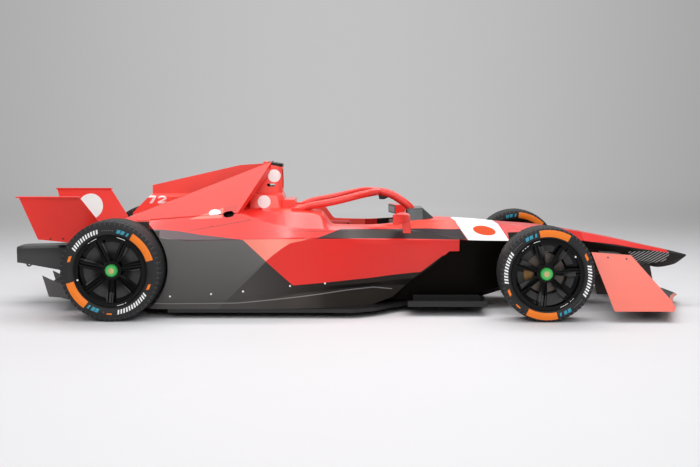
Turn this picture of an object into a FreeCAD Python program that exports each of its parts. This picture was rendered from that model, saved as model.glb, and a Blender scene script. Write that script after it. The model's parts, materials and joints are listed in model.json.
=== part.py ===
import FreeCAD, Part
import math
import os

os.makedirs("parts", exist_ok=True)
V = FreeCAD.Vector

# An open wheel racing car with a single seat, electric drive, a halo over the cockpit,
# a spear nose with canted endplates and two canted panels for a rear wing.
# Origin on the ground, mid length, on the centre plane. X forward, Y to the left, Z up.
# The right half is the mirror image of the left half. All lengths in millimetres.

# Main lengths along the car
wheelbase = 2970.5
front_overhang = 1182.0
rear_overhang = 863.5
nose_joint = 374.0
tail_joint = 311.0

# Main widths and heights
body_width = 1400.0
cowl_height = 645.0
hoop_height = 1066.0
floor_bottom = 40.0
floor_thickness = 25.0

# Wheels and tyres
front_tyre_diameter = 649.2
front_tyre_width = 245.0
front_wheel_track = 1455.0
rear_tyre_diameter = 691.0
rear_tyre_width = 305.0
rear_wheel_track = 1395.0
rim_seat_diameter = 457.0
rim_flange_diameter = 486.0
rim_wall = 9.0
rim_dish = 62.0
spoke_count = 7
spoke_width = 58.0
spoke_root_width = 30.0
spoke_depth = 30.0
spoke_blade_radius = 150.0
front_spoke_turn = -17.3
rear_spoke_turn = -22.3
web_thickness = 6.0
front_web_bore_diameter = 300.0
rear_web_bore_diameter = 140.0
hub_bore_diameter = 62.0
hub_diameter = 128.0
nut_diameter = 86.0
nut_height = 30.0
nut_bore_diameter = 34.0
disc_diameter = 278.0
disc_thickness = 26.0

# Running clearances
bore_clearance = 0.4
moving_clearance = 8.0
tyre_arch_gap = 20.0
seam = 0.3
overrun = 20.0

# Sheet and shell thicknesses
panel = 20.0
sheet = 8.0

# Front suspension and steering
kingpin_offset = 78.0
ball_height = 128.0
pin_diameter = 20.0
arm_blade_width = 42.0
arm_blade_height = 16.0
steer_arm_length = 112.0
track_rod_diameter = 18.0
rack_reach = 70.0
rack_slot = 74.0

# Cockpit
cockpit_width = 470.0
cockpit_rear_share = 0.418
cockpit_front_share = 0.7008
cockpit_length = 840.0
cockpit_floor = 115.0
halo_tube = 52.0
halo_strut_diameter = 60.0
steering_wheel_width = 270.0
steering_wheel_height = 150.0
steering_wheel_thickness = 26.0
column_diameter = 34.0
column_tilt = 16.0

# Wings
wing_thickness = 30.0
flap_thickness = 17.0
endplate_top_y = 600.0
endplate_foot_y = 842.0
endplate_top_z = 452.0
endplate_foot_z = 76.0
rear_panel_top_y = 490.0
rear_panel_foot_y = 380.0
rear_panel_top_z = 833.0
rear_panel_foot_z = 470.0
rear_panel_flange = 46.0

# Tow eye under the tail
tow_eye_diameter = 42.0
tow_eye_bore_diameter = 24.0
tow_eye_thickness = 16.0

# Slot in the hoop and outlet in the buttress
slot_length = 62.0
slot_height = 22.0
outlet_length = 76.0
outlet_height = 54.0
outlet_depth = 60.0

# Half widths of what stands on the engine cover
spine_half = 50.0
fin_half = 13.0
hoop_half = 98.0
hoop_foot_half = 150.0

# Positions worked out from the sizes above
overall_length = wheelbase + front_overhang + rear_overhang
front_axle_x = overall_length / 2 - front_overhang
rear_axle_x = front_axle_x - wheelbase
half_body = body_width / 2
floor_top = floor_bottom + floor_thickness
front_radius = front_tyre_diameter / 2
rear_radius = rear_tyre_diameter / 2
front_wheel_y = front_wheel_track / 2
rear_wheel_y = rear_wheel_track / 2
kingpin_y = front_wheel_y - kingpin_offset
bulkhead_x = front_axle_x + nose_joint
tail_joint_x = rear_axle_x - tail_joint
cockpit_rear_x = rear_axle_x + cockpit_rear_share * wheelbase
cockpit_front_x = cockpit_rear_x + cockpit_length


def body_x(share):
    """X between the axles: 0 at the rear axle, 1 at the front one, with the cockpit's ends kept."""
    if share < cockpit_rear_share:
        return rear_axle_x + share / cockpit_rear_share * (cockpit_rear_x - rear_axle_x)
    if share > cockpit_front_share:
        return front_axle_x - (1 - share) / (1 - cockpit_front_share) * (front_axle_x - cockpit_front_x)
    along = (share - cockpit_rear_share) / (cockpit_front_share - cockpit_rear_share)
    return cockpit_rear_x + along * cockpit_length


def cockpit_x(share):
    """X in the cockpit: 0 at its rear end, 1 at its front end."""
    return cockpit_rear_x + share * cockpit_length


def nose_x(share):
    """X ahead of the front axle: 0 at the axle, 1 at the nose tip."""
    return front_axle_x + share * front_overhang


def tail_x(share):
    """X behind the rear axle: 0 at the axle, 1 at the end of the tail."""
    return rear_axle_x - share * rear_overhang


def wide(share):
    return share * half_body


def high(share):
    return share * cowl_height


def over_cowl(share):
    """Height above the cowl: 0 on the cowl, 1 at the top of the hoop."""
    return cowl_height + share * (hoop_height - cowl_height)


def mirrored(shape):
    """The right hand twin of a left hand shape."""
    return shape.mirror(V(0, 0, 0), V(0, 1, 0))


def polygon(points):
    return Part.makePolygon([V(*p) for p in points] + [V(*points[0])])


def prism(points, direction):
    """A flat outline pushed along a direction."""
    return Part.Face(polygon(points)).extrude(V(*direction))


def block(x0, x1, y0, y1, z0, z1):
    return Part.makeBox(x1 - x0, y1 - y0, z1 - z0, V(x0, y0, z0))


def rod(start, end, diameter):
    """A round bar between two points."""
    a = V(*start)
    d = V(*end) - a
    return Part.makeCylinder(diameter / 2, d.Length, a, d)


def whole_section(x, half_points):
    """A closed outline across the car, from its left half given from top to bottom."""
    left = [(x, y, z) for y, z in half_points]
    right = [(x, -y, z) for y, z in reversed(half_points) if y > 0]
    return left + right


def loft(wires):
    """A solid with straight sides between flat outlines."""
    return Part.makeLoft(wires, True, True)


def slope_at(before, here, after):
    """The slope of a smooth line at its middle point, flat where the line turns back."""
    left = (here[1] - before[1]) / (here[0] - before[0])
    right = (after[1] - here[1]) / (after[0] - here[0])
    if left * right <= 0:
        return 0.0
    return 2 * left * right / (left + right)


def rail(points):
    """A smooth edge through points along the car that never overshoots between them."""
    count = len(points)
    start = points[0][0]
    heading = 1.0 if points[-1][0] > start else -1.0
    tangents = []
    for i in range(count):
        slopes = []
        for axis in (1, 2):
            line = [(abs(p[0] - start), p[axis]) for p in points]
            if i == 0:
                slopes.append((line[1][1] - line[0][1]) / (line[1][0] - line[0][0]))
            elif i == count - 1:
                slopes.append((line[i][1] - line[i - 1][1]) / (line[i][0] - line[i - 1][0]))
            else:
                slopes.append(slope_at(line[i - 1], line[i], line[i + 1]))
        tangents.append(V(heading, slopes[0], slopes[1]))
    curve = Part.BSplineCurve()
    curve.interpolate(
        Points=[V(*p) for p in points],
        Parameters=[abs(p[0] - start) for p in points],
        Tangents=tangents,
        TangentFlags=[True] * count,
        Scale=False,
    )
    return curve.toShape()


def skin(sections):
    """A solid skinned over outlines along the car: smooth lengthwise, creased at each corner."""
    rails = [rail([section[i] for section in sections]) for i in range(len(sections[0]))]
    faces = [Part.makeRuledSurface(rails[i - 1], rails[i]) for i in range(len(rails))]
    faces.append(Part.Face(polygon(sections[0])))
    faces.append(Part.Face(polygon(sections[-1])))
    shell = Part.Shell(faces)
    shell.sewShape()
    solid = Part.Solid(shell)
    if solid.Volume < 0:
        solid.reverse()
    return solid


def polyhedron(points, faces):
    """A closed solid from named corner points and the corner names of each face."""
    made = [Part.Face(polygon([points[name] for name in face])) for face in faces]
    solid = Part.Solid(Part.Shell(made))
    if solid.Volume < 0:
        solid.reverse()
    return solid


def fused(shapes):
    first = shapes[0]
    return first.fuse(shapes[1:]).removeSplitter() if len(shapes) > 1 else first


def save(name, shape):
    shape.exportStep("parts/" + name + ".step")


def save_pair(name, left_shape):
    save(name + "_left", left_shape)
    save(name + "_right", mirrored(left_shape))


# Survival cell: half outlines from the top centre line down to the keel,
# each as x, then pairs of width share and height share.
bulkhead_shares = ((0, 0.845), (0.100, 0.840), (0.285, 0.761), (0.271, 0.465), (0.171, 0.395))
cell_station_shares = (
    (1.000, ((0, 0.930), (0.157, 0.918), (0.364, 0.775), (0.350, 0.357), (0.214, 0.295))),
    (0.934, ((0, 0.952), (0.200, 0.936), (0.428, 0.775), (0.414, 0.279), (0.243, 0.200))),
    (0.836, ((0, 0.992), (0.228, 0.974), (0.478, 0.791), (0.478, 0.171), (0.314, 0.101))),
    (0.725, ((0, 1.000), (0.271, 0.992), (0.478, 0.891), (0.478, 0.116), (0.428, 0.101))),
    (0.640, ((0, 0.985), (0.371, 0.958), (0.478, 0.925), (0.478, 0.115), (0.440, 0.101))),
    (0.587, ((0, 0.955), (0.371, 0.948), (0.478, 0.938), (0.478, 0.113), (0.450, 0.101))),
    (0.509, ((0, 0.957), (0.371, 0.957), (0.478, 0.945), (0.478, 0.113), (0.450, 0.101))),
    (0.476, ((0, 1.112), (0.371, 1.112), (0.478, 1.070), (0.478, 0.113), (0.450, 0.101))),
    (0.435, ((0, 1.128), (0.371, 1.126), (0.478, 1.098), (0.478, 0.113), (0.450, 0.101))),
    (0.352, ((0, 1.130), (0.371, 1.125), (0.478, 1.108), (0.478, 0.113), (0.450, 0.101))),
)


def closed_half(outline):
    """Half an outline in millimetres, closed along its keel no lower than the floor."""
    half = [(wide(y), high(z)) for y, z in outline]
    keel = max(half[-1][1], floor_top)
    return half[:-1] + [(half[-1][0], keel), (0, keel)]


def cockpit_well():
    """The space the driver sits in: a rounded plan, open at the top, and a leg tunnel."""
    rear = cockpit_rear_x
    front = cockpit_front_x
    half = cockpit_width / 2
    nose_half = half * 0.72
    round_x = half * 0.8
    rim = [
        Part.LineSegment(V(rear + round_x, -half, 0), V(front - half, -half, 0)),
        Part.Arc(V(front - half, -half, 0), V(front - half / 3, -nose_half, 0), V(front, 0, 0)),
        Part.Arc(V(front, 0, 0), V(front - half / 3, nose_half, 0), V(front - half, half, 0)),
        Part.LineSegment(V(front - half, half, 0), V(rear + round_x, half, 0)),
        Part.Arc(V(rear + round_x, half, 0), V(rear, 0, 0), V(rear + round_x, -half, 0)),
    ]
    wire = Part.Wire([edge.toShape() for edge in rim])
    well = Part.Face(wire).extrude(V(0, 0, hoop_height))
    well.translate(V(0, 0, cockpit_floor))
    tunnel_half = half * 0.7
    tunnel_top = high(0.78)
    tunnel = block(front - half, body_x(0.86), -tunnel_half, tunnel_half, cockpit_floor, tunnel_top)
    return well.fuse(tunnel)


def rack_x():
    return front_axle_x + steer_arm_length


def rack_z():
    return front_radius - ball_height * 0.30


def rack_tunnel():
    """The cross hole through the cell for the steering rack and the rods."""
    half = rack_slot / 2
    x = rack_x()
    z = rack_z()
    return block(x - half, x + half, -half_body, half_body, z - half, z + half)


def make_cell():
    sections = [whole_section(bulkhead_x, closed_half(bulkhead_shares))]
    for share, outline in cell_station_shares:
        sections.append(whole_section(body_x(share), closed_half(outline)))
    cell = skin(sections)
    hollow = cell.cut(cockpit_well()).cut(rack_tunnel())
    return hollow.fuse(make_dash()).removeSplitter()


# Nose cone: x share ahead of the front axle, then width and height shares as above.
nose_station_shares = (
    (0.511, ((0, 0.775), (0.080, 0.769), (0.208, 0.691), (0.200, 0.480), (0.128, 0.434))),
    (0.711, ((0, 0.691), (0.058, 0.685), (0.140, 0.637), (0.131, 0.504), (0.078, 0.459))),
    (0.815, ((0, 0.650), (0.043, 0.645), (0.097, 0.611), (0.091, 0.488), (0.051, 0.424))),
    (0.917, ((0, 0.606), (0.028, 0.601), (0.060, 0.586), (0.057, 0.504), (0.028, 0.453))),
    (1.000, ((0, 0.567), (0.008, 0.566), (0.014, 0.561), (0.012, 0.552), (0.006, 0.546))),
)


def make_nose():
    sections = [whole_section(bulkhead_x, closed_half(bulkhead_shares))]
    for share, outline in nose_station_shares:
        sections.append(whole_section(nose_x(share), closed_half(outline)))
    return skin(sections)


# Left sidepod: x share between the axles, then eight corners of the outline, from the
# foot up over the shoulder crease to the deck beside the cell, as width and height shares.
pod_station_shares = (
    (0.813, ((0.500, 0.101), (0.503, 0.186), (0.507, 0.310), (0.508, 0.700), (0.509, 0.794),
             (0.494, 0.806), (0.478, 0.814))),
    (0.705, ((0.550, 0.101), (0.543, 0.294), (0.564, 0.372), (0.568, 0.744), (0.564, 0.800),
             (0.493, 0.891), (0.478, 0.900))),
    (0.587, ((0.743, 0.101), (0.686, 0.300), (0.714, 0.340), (0.697, 0.775), (0.686, 0.822),
             (0.571, 0.911), (0.478, 0.938))),
    (0.509, ((0.876, 0.101), (0.818, 0.287), (0.834, 0.330), (0.803, 0.822), (0.802, 0.848),
             (0.650, 0.917), (0.478, 0.945))),
    (0.476, ((0.924, 0.101), (0.871, 0.276), (0.882, 0.326), (0.847, 0.840), (0.848, 0.858),
             (0.680, 0.932), (0.478, 1.070))),
    (0.435, ((0.961, 0.101), (0.918, 0.262), (0.924, 0.318), (0.890, 0.840), (0.880, 0.862),
             (0.714, 0.940), (0.478, 1.098))),
    (0.352, ((0.996, 0.101), (0.980, 0.210), (0.983, 0.260), (0.960, 0.620), (0.914, 0.853),
             (0.729, 1.008), (0.478, 1.108))),
    (0.284, ((1.000, 0.101), (0.992, 0.175), (0.996, 0.215), (0.984, 0.403), (0.926, 0.850),
             (0.714, 1.105), (0.478, 1.130))),
    (0.200, ((1.000, 0.101), (0.994, 0.155), (0.998, 0.180), (0.996, 0.225), (0.930, 0.842),
             (0.714, 1.078), (0.478, 1.104))),
    (0.123, ((1.000, 0.101), (0.996, 0.150), (0.999, 0.168), (0.998, 0.200), (0.928, 0.848),
             (0.714, 1.048), (0.478, 1.070))),
    (0.072, ((0.990, 0.101), (0.986, 0.150), (0.989, 0.168), (0.988, 0.200), (0.915, 0.905),
             (0.714, 1.030), (0.478, 1.048))),
)
pod_rake_shares = ((0.813, 0.667), (0.789, 0.667), (0.739, 0.481), (0.702, 0.372),
                   (0.651, 0.170), (0.606, 0.108), (0.606, 0.0))


def pod_section(station):
    share, outline = station
    x = body_x(share)
    corners = [(x, wide(y), high(z)) for y, z in outline]
    corners[0] = (x, corners[0][1], floor_top)
    corners.append((x, wide(0.478), floor_top))
    return corners


def pod_rake():
    """What the raked leading edge takes away below the pod's front corner."""
    outline = [(body_x(x), wide(0.47), high(z)) for x, z in pod_rake_shares]
    outline.append((body_x(0.84), wide(0.47), 0))
    outline.append((body_x(0.84), wide(0.47), high(0.667)))
    return prism(outline, (0, half_body, 0))


def pod_intake():
    """The duct behind the leading edge, between the pod's panel and the cell."""
    inner = wide(0.478)
    sections = []
    for share, outline in pod_station_shares[0:3]:
        foot_y, waist_y, top_y = [max(wide(outline[n][0]) - panel, inner + sheet / 2) for n in (1, 3, 4)]
        top_z = high(outline[4][1]) - panel * 1.5
        corners = ((inner, floor_top + panel), (foot_y, floor_top + panel),
                   (waist_y, high(outline[3][1]) - panel * 1.5), (top_y, top_z), (inner, top_z))
        sections.append([(body_x(share), y, z) for y, z in corners])
    return skin(sections)


def rear_arch():
    """The clearance round a rear tyre, outboard of its inner side."""
    inner = rear_wheel_y - rear_tyre_width / 2 - tyre_arch_gap
    return Part.makeCylinder(
        rear_radius + tyre_arch_gap, half_body, V(rear_axle_x, inner, rear_radius), V(0, 1, 0)
    )


def make_pod():
    pod = skin([pod_section(station) for station in pod_station_shares])
    return pod.cut(pod_rake()).cut(pod_intake()).cut(rear_arch())


# Engine cover: deck behind the cell, the spine, the fin on it and the roll hoop.
crease_share = 0.430


def make_deck():
    """The low deck over the battery and the drive unit, wider behind the pods."""
    top_z = high(1.104)
    inner = wide(0.478)
    low = high(0.87)
    front = [(0, top_z), (inner, high(1.108)), (inner, low), (0, low)]
    middle = [(0, high(1.075)), (inner, high(1.052)), (inner, low), (0, low)]
    rear_half = rear_wheel_y - rear_tyre_width / 2 - tyre_arch_gap - seam
    tail_low = high(0.94)
    step = [(0, high(1.060)), (rear_half * 0.97, high(1.040)), (rear_half, tail_low), (0, tail_low)]
    edge_low = high(0.995)
    edge = [(0, high(1.018)), (rear_half * 0.95, high(1.012)), (rear_half * 0.95, edge_low), (0, edge_low)]
    fore = loft([
        polygon(whole_section(body_x(0.352), front)),
        polygon(whole_section(body_x(0.072), middle)),
    ])
    aft = loft([
        polygon(whole_section(body_x(0.072), step)),
        polygon(whole_section(body_x(-0.004), edge)),
    ])
    return fore.fuse(aft)


def make_fin():
    """The tall thin fin behind the hoop."""
    top = hoop_height * 0.972
    outline = [
        (body_x(0.345), -fin_half, high(1.0)),
        (body_x(0.345), -fin_half, top + (hoop_height - top) / 2),
        (body_x(0.270), -fin_half, top),
        (body_x(0.049), -fin_half, over_cowl(0.573)),
        (body_x(0.049), -fin_half, high(1.0)),
    ]
    return prism(outline, (0, 2 * fin_half, 0))


def make_spine():
    """The wider spine under the fin, with its sloping shoulders."""
    crease = over_cowl(crease_share)
    shoulder = crease - spine_half / 2
    front = body_x(0.34)
    base = high(1.0)
    section = [
        (front, -spine_half, base),
        (front, -spine_half, shoulder),
        (front, -fin_half, crease),
        (front, fin_half, crease),
        (front, spine_half, shoulder),
        (front, spine_half, base),
    ]
    bar = prism(section, (body_x(0) - front, 0, 0))
    cut_outline = [
        (body_x(0.049), -half_body, crease),
        (body_x(-0.012), -half_body, base),
        (body_x(-0.2), -half_body, base),
        (body_x(-0.2), -half_body, crease + spine_half),
        (body_x(0.049), -half_body, crease + spine_half),
    ]
    return bar.cut(prism(cut_outline, (0, body_width, 0)))


def hoop_ring(x0, x1, half, z, slope=0.0):
    corner = half * 0.3
    side_z = z + slope * (x1 - corner - x0) / (x1 - x0)
    return polygon([
        (x1 - corner, half, side_z),
        (x0, half, z),
        (x0, -half, z),
        (x1 - corner, -half, side_z),
        (x1, -half + corner, z + slope),
        (x1, half - corner, z + slope),
    ])


def make_hoop():
    """The roll hoop: a wide foot, a step at the crease and a slim head with a mouth."""
    crease = over_cowl(crease_share)
    front = body_x(0.381)
    foot = loft([
        hoop_ring(body_x(0.30), body_x(0.392), hoop_foot_half * 1.15, over_cowl(0.123)),
        hoop_ring(body_x(0.30), front, hoop_foot_half, crease - sheet),
        hoop_ring(body_x(0.30), front - sheet, hoop_half, crease + sheet),
    ])
    head = loft([
        hoop_ring(body_x(0.31), front - sheet, hoop_half, crease + sheet),
        hoop_ring(body_x(0.332), front - sheet, hoop_half * 0.86, hoop_height, -panel),
    ])
    mouth_half = hoop_half * 0.66
    mouth = block(front - spine_half * 2, front + overrun, -mouth_half, mouth_half,
                  over_cowl(0.525), over_cowl(0.857))
    return foot.fuse(head).cut(mouth)


def oval_prism(middle, half_length, half_height, along, tilt=0.0):
    """A slot shape with round ends, its long side in the plane of X and Z, pushed along a line."""
    radius = half_height
    straight = half_length - radius
    lean = math.radians(tilt)
    fore = V(math.cos(lean), 0, math.sin(lean))
    up = V(0, 1, 0).cross(fore) * -1
    ends = [middle + fore * straight, middle - fore * straight]
    edges = [
        Part.LineSegment(ends[1] + up * radius, ends[0] + up * radius),
        Part.Arc(ends[0] + up * radius, ends[0] + fore * radius, ends[0] - up * radius),
        Part.LineSegment(ends[0] - up * radius, ends[1] - up * radius),
        Part.Arc(ends[1] - up * radius, ends[1] - fore * radius, ends[1] + up * radius),
    ]
    return Part.Face(Part.Wire([edge.toShape() for edge in edges])).extrude(along)


def lifting_slot():
    """The slot right through the head of the hoop that a hoist strap goes through."""
    middle = V(body_x(0.350), -half_body, over_cowl(0.585))
    return oval_prism(middle, slot_length / 2, slot_height / 2, V(0, body_width, 0))


def make_rest_box():
    """The small box between the hoop and the cockpit that backs the head rest."""
    return block(body_x(0.38), body_x(0.41), -hoop_foot_half, hoop_foot_half,
                 over_cowl(0.077), over_cowl(0.337))


def make_engine_cover(cell):
    hoop = make_hoop().cut(lifting_slot())
    cover = fused([make_deck(), make_fin(), make_spine(), hoop, make_rest_box()])
    return cover.cut(cell)


# Buttress: the delta panel from the top of the hoop down to the rear of the deck.
def buttress_corners(inset=0.0):
    step = inset * 1.2
    return {
        "apex": (body_x(0.352), hoop_half * 0.80 + inset * 0.3, hoop_height - step * 2),
        "outer": (body_x(0.282), wide(0.714) - step, high(1.118) - step * 0.2),
        "tail": (body_x(-0.004), wide(0.700) - step, high(1.014)),
        "inner": (body_x(0.330), hoop_foot_half * 1.1, high(1.120)),
        "root": (body_x(0.020), spine_half, high(1.070)),
        "floor_outer": (body_x(0.282), wide(0.714) - step, high(1.02)),
        "floor_tail": (body_x(-0.004), wide(0.700) - step, high(1.004)),
        "floor_inner": (body_x(0.330), hoop_foot_half * 1.1, high(1.02)),
        "floor_root": (body_x(0.020), spine_half, high(1.004)),
    }


buttress_faces = (
    ("apex", "outer", "tail"),
    ("apex", "tail", "root"),
    ("apex", "root", "inner"),
    ("apex", "inner", "outer"),
    ("outer", "inner", "floor_inner"),
    ("outer", "floor_inner", "floor_outer"),
    ("outer", "floor_outer", "floor_tail"),
    ("outer", "floor_tail", "tail"),
    ("tail", "floor_tail", "floor_root"),
    ("tail", "floor_root", "root"),
    ("root", "floor_root", "floor_inner"),
    ("root", "floor_inner", "inner"),
    ("floor_outer", "floor_inner", "floor_root"),
    ("floor_outer", "floor_root", "floor_tail"),
)


def make_buttress(cover, pod, cell):
    raw = polyhedron(buttress_corners(), buttress_faces)
    pocket = polyhedron(buttress_corners(panel), buttress_faces)
    depth = wheelbase * 0.12
    pocket.translate(V(panel * 2, -panel, 0))
    mouth = block(body_x(0.282) - depth, body_x(0.45), 0, half_body, high(1.13), hoop_height)
    opened = raw.cut(pocket.common(mouth)).cut(side_outlet())
    return opened.cut(cover).cut(pod).cut(cell)


def side_outlet():
    """The oval cooling outlet low in the buttress, just behind its front edge."""
    middle = V(body_x(0.260), wide(0.600), high(1.048))
    out = V(0, outlet_depth * 3, outlet_depth * 1.2)
    return oval_prism(middle, outlet_length / 2, outlet_height / 2, out, 12)


# Halo: centre line points of the left leg and the front strut.
halo_leg_shares = (
    (0.422, 0.386, 1.110), (0.440, 0.388, 1.148), (0.480, 0.400, 1.188), (0.534, 0.386, 1.240),
    (0.578, 0.314, 1.286), (0.606, 0.186, 1.300), (0.618, 0.0, 1.298),
)
halo_strut_shares = ((0.612, 0.0, 1.300), (0.637, 0.0, 1.286), (0.655, 0.0, 1.257), (0.673, 0.0, 1.207),
                     (0.688, 0.0, 1.157), (0.701, 0.0, 1.098), (0.712, 0.0, 0.990))


def spline(points):
    curve = Part.BSplineCurve()
    curve.interpolate([V(*p) for p in points])
    return curve


def tube_along(points, diameter, stations):
    """A round tube lofted through circles set square to a smooth centre line."""
    curve = spline(points)
    first = curve.FirstParameter
    span = curve.LastParameter - first
    wires = []
    for i in range(stations + 1):
        at = first + span * i / stations
        circle = Part.Circle(curve.value(at), V(*curve.tangent(at)[0]), diameter / 2)
        wires.append(Part.Wire([circle.toShape()]))
    return Part.makeLoft(wires, True, False)


def make_halo(cell, cover):
    leg_points = [(body_x(x), wide(y), high(z)) for x, y, z in halo_leg_shares]
    over = [(x, -y, z) for x, y, z in reversed(leg_points[:-1])]
    ring = tube_along(leg_points + over, halo_tube, 28)
    strut_points = [(body_x(x), wide(y), high(z)) for x, y, z in halo_strut_shares]
    strut = tube_along(strut_points, halo_strut_diameter, 10)
    foot_x, foot_y, foot_z = leg_points[0]
    pad = block(foot_x - halo_tube, foot_x + halo_tube / 2, foot_y - halo_tube * 0.6,
                foot_y + halo_tube * 0.6, foot_z - halo_tube, foot_z + halo_tube * 0.4)
    halo = fused([ring, strut, pad, mirrored(pad)])
    return halo.cut(cell).cut(cover)


# Windscreen: a smoked wedge ahead of the cockpit, wrapped round the strut.
def screen_ring(x, half, foot, top, thickness):
    return polygon([
        (x, half - thickness, foot),
        (x, half, foot),
        (x, half * 0.62, top),
        (x, -half * 0.62, top),
        (x, -half, foot),
        (x, -half + thickness, foot),
        (x, (-half + thickness) * 0.60, top - thickness),
        (x, (half - thickness) * 0.60, top - thickness),
    ])


def make_windscreen(cell, halo):
    wall = sheet / 2
    foot = high(0.97)
    rings = [
        screen_ring(body_x(0.690), wide(0.30), foot, high(1.115), wall),
        screen_ring(body_x(0.728), wide(0.24), foot, high(1.120), wall),
        screen_ring(body_x(0.756), wide(0.12), foot, high(1.005), wall),
    ]
    screen = loft(rings)
    return screen.cut(cell).cut(halo)


# Seat, head rest and steering wheel
seat_profile_shares = (
    (0.112, 0.755), (0.136, 0.755), (0.342, 0.146), (0.588, 0.038), (0.726, 0.170), (0.749, 0.146),
    (0.634, 0.0), (0.296, 0.0),
)
seat_side_shares = (
    (0.112, 0.706), (0.266, 0.681), (0.434, 0.316), (0.726, 0.268), (0.726, 0.0), (0.296, 0.0),
)


def seat_outline(shares, y):
    foot = cockpit_floor + seam
    return [(cockpit_x(x), y, foot + z * (cowl_height - foot)) for x, z in shares]


def make_seat():
    """A one piece moulded seat shell: pan, back and side bolsters."""
    half = cockpit_width * 0.40
    body = prism(seat_outline(seat_profile_shares, -half), (0, 2 * half, 0))
    bolster = prism(seat_outline(seat_side_shares, half - panel), (0, panel, 0))
    return fused([body, bolster, mirrored(bolster)])


def make_head_rest():
    """The horseshoe pad round the driver's head, inside the cockpit rim."""
    rear = cockpit_rear_x + seam * 2
    half = cockpit_width / 2 - seam
    round_x = half * 0.8
    pad = half * 0.36
    length = cockpit_length * 0.46
    front = rear + length
    base = high(0.80)
    top = high(0.93)
    edges = [
        Part.LineSegment(V(front, half, base), V(rear + round_x, half, base)),
        Part.Arc(V(rear + round_x, half, base), V(rear, 0, base), V(rear + round_x, -half, base)),
        Part.LineSegment(V(rear + round_x, -half, base), V(front, -half, base)),
        Part.LineSegment(V(front, -half, base), V(front, pad - half, base)),
        Part.LineSegment(V(front, pad - half, base), V(rear + round_x, pad - half, base)),
        Part.Arc(V(rear + round_x, pad - half, base), V(rear + pad, 0, base),
                 V(rear + round_x, half - pad, base)),
        Part.LineSegment(V(rear + round_x, half - pad, base), V(front, half - pad, base)),
        Part.LineSegment(V(front, half - pad, base), V(front, half, base)),
    ]
    wire = Part.Wire([edge.toShape() for edge in edges])
    horseshoe = Part.Face(wire).extrude(V(0, 0, top - base))
    back = block(rear, rear + pad, -half * 0.5, half * 0.5, base, high(1.10))
    well = cockpit_well()
    return horseshoe.fuse(back.common(well)).removeSplitter()


def column_direction():
    tilt = math.radians(column_tilt)
    return V(math.cos(tilt), 0, -math.sin(tilt))


def dash_distance():
    """How far the dash panel stands from the wheel along the column."""
    return steering_wheel_width * 0.55


def column_length():
    return dash_distance() + panel * 1.4


def column_origin():
    """The middle of the wheel, with the column's end just behind the front of the cockpit."""
    reach = column_length() * math.cos(math.radians(column_tilt)) + panel / 2
    return V(cockpit_front_x - reach, 0, high(0.86))


def make_steering_wheel():
    """A flat topped wheel with two grips, on the end of its column."""
    half = steering_wheel_width / 2
    rise = steering_wheel_height / 2
    grip = half * 0.26
    outline = [
        (-half, -rise * 0.6), (-half * 0.7, -rise), (half * 0.7, -rise), (half, -rise * 0.6),
        (half, rise * 0.6), (half * 0.7, rise), (-half * 0.7, rise), (-half, rise * 0.6),
    ]
    plate = prism([(0, y, z) for y, z in outline], (steering_wheel_thickness, 0, 0))
    hole = block(-overrun, steering_wheel_thickness + overrun, half - grip * 2.1, half - grip,
                 -rise * 0.62, rise * 0.62)
    plate = plate.cut(hole).cut(mirrored(hole))
    column = rod((0, 0, 0), (column_length(), 0, 0), column_diameter)
    wheel = plate.fuse(column).removeSplitter()
    wheel.rotate(V(0, 0, 0), V(0, 1, 0), column_tilt)
    wheel.translate(column_origin())
    return wheel


def make_dash():
    """The bulkhead panel that carries the steering column."""
    d = column_direction()
    at = column_origin() + d * dash_distance()
    half = cockpit_width * 0.36
    panel_box = block(at.x, at.x + panel, -half, half, cockpit_floor + high(0.42), high(0.96))
    hole = Part.makeCylinder(column_diameter / 2 + bore_clearance, cockpit_length, column_origin(), d)
    return panel_box.cut(hole)


# Mirror, left hand. The stem is a stack of level outlines from its foot on the sidepod, each
# height, rear, front, inner and outer. The housing is rear, then inner, outer, low and top.
mirror_stem_shares = (
    (0.870, 0.922, 0.978, 0.490, 0.506), (1.000, 0.920, 0.978, 0.566, 0.584),
    (1.011, 0.850, 0.980, 0.560, 0.622), (1.067, 0.844, 0.985, 0.568, 0.654),
    (1.112, 0.880, 0.942, 0.604, 0.654),
)
mirror_head_shares = (
    (0.789, 0.560, 0.772, 1.119, 1.197), (0.832, 0.564, 0.766, 1.112, 1.190),
    (0.880, 0.580, 0.730, 1.098, 1.178), (0.930, 0.606, 0.660, 1.095, 1.140),
)


def make_mirror(cell, pod):
    """A winglet on a blade strut that carries the swept housing of the glass."""
    stem = []
    for z, rear, front, inner, outer in mirror_stem_shares:
        corners = ((rear, inner), (front, inner), (front, outer), (rear, outer))
        stem.append(polygon([(cockpit_x(x), wide(y), high(z)) for x, y in corners]))
    head = []
    for x, inner, outer, low, top in mirror_head_shares:
        corners = ((inner, low), (outer, low), (outer, top), (inner, top))
        head.append(polygon([(cockpit_x(x), wide(y), high(z)) for y, z in corners]))
    return loft(stem).fuse(loft(head)).cut(cell).cut(pod)


# Floor: the flat plank with its foot plates, cut clear of the wheels.
floor_outline_shares = (
    (0.883, 0.300), (0.872, 0.530), (0.690, 0.560), (0.655, 0.686), (0.606, 0.900), (0.560, 1.000),
    (0.1235, 1.000),
)
foot_plate_half = 0.857


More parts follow.
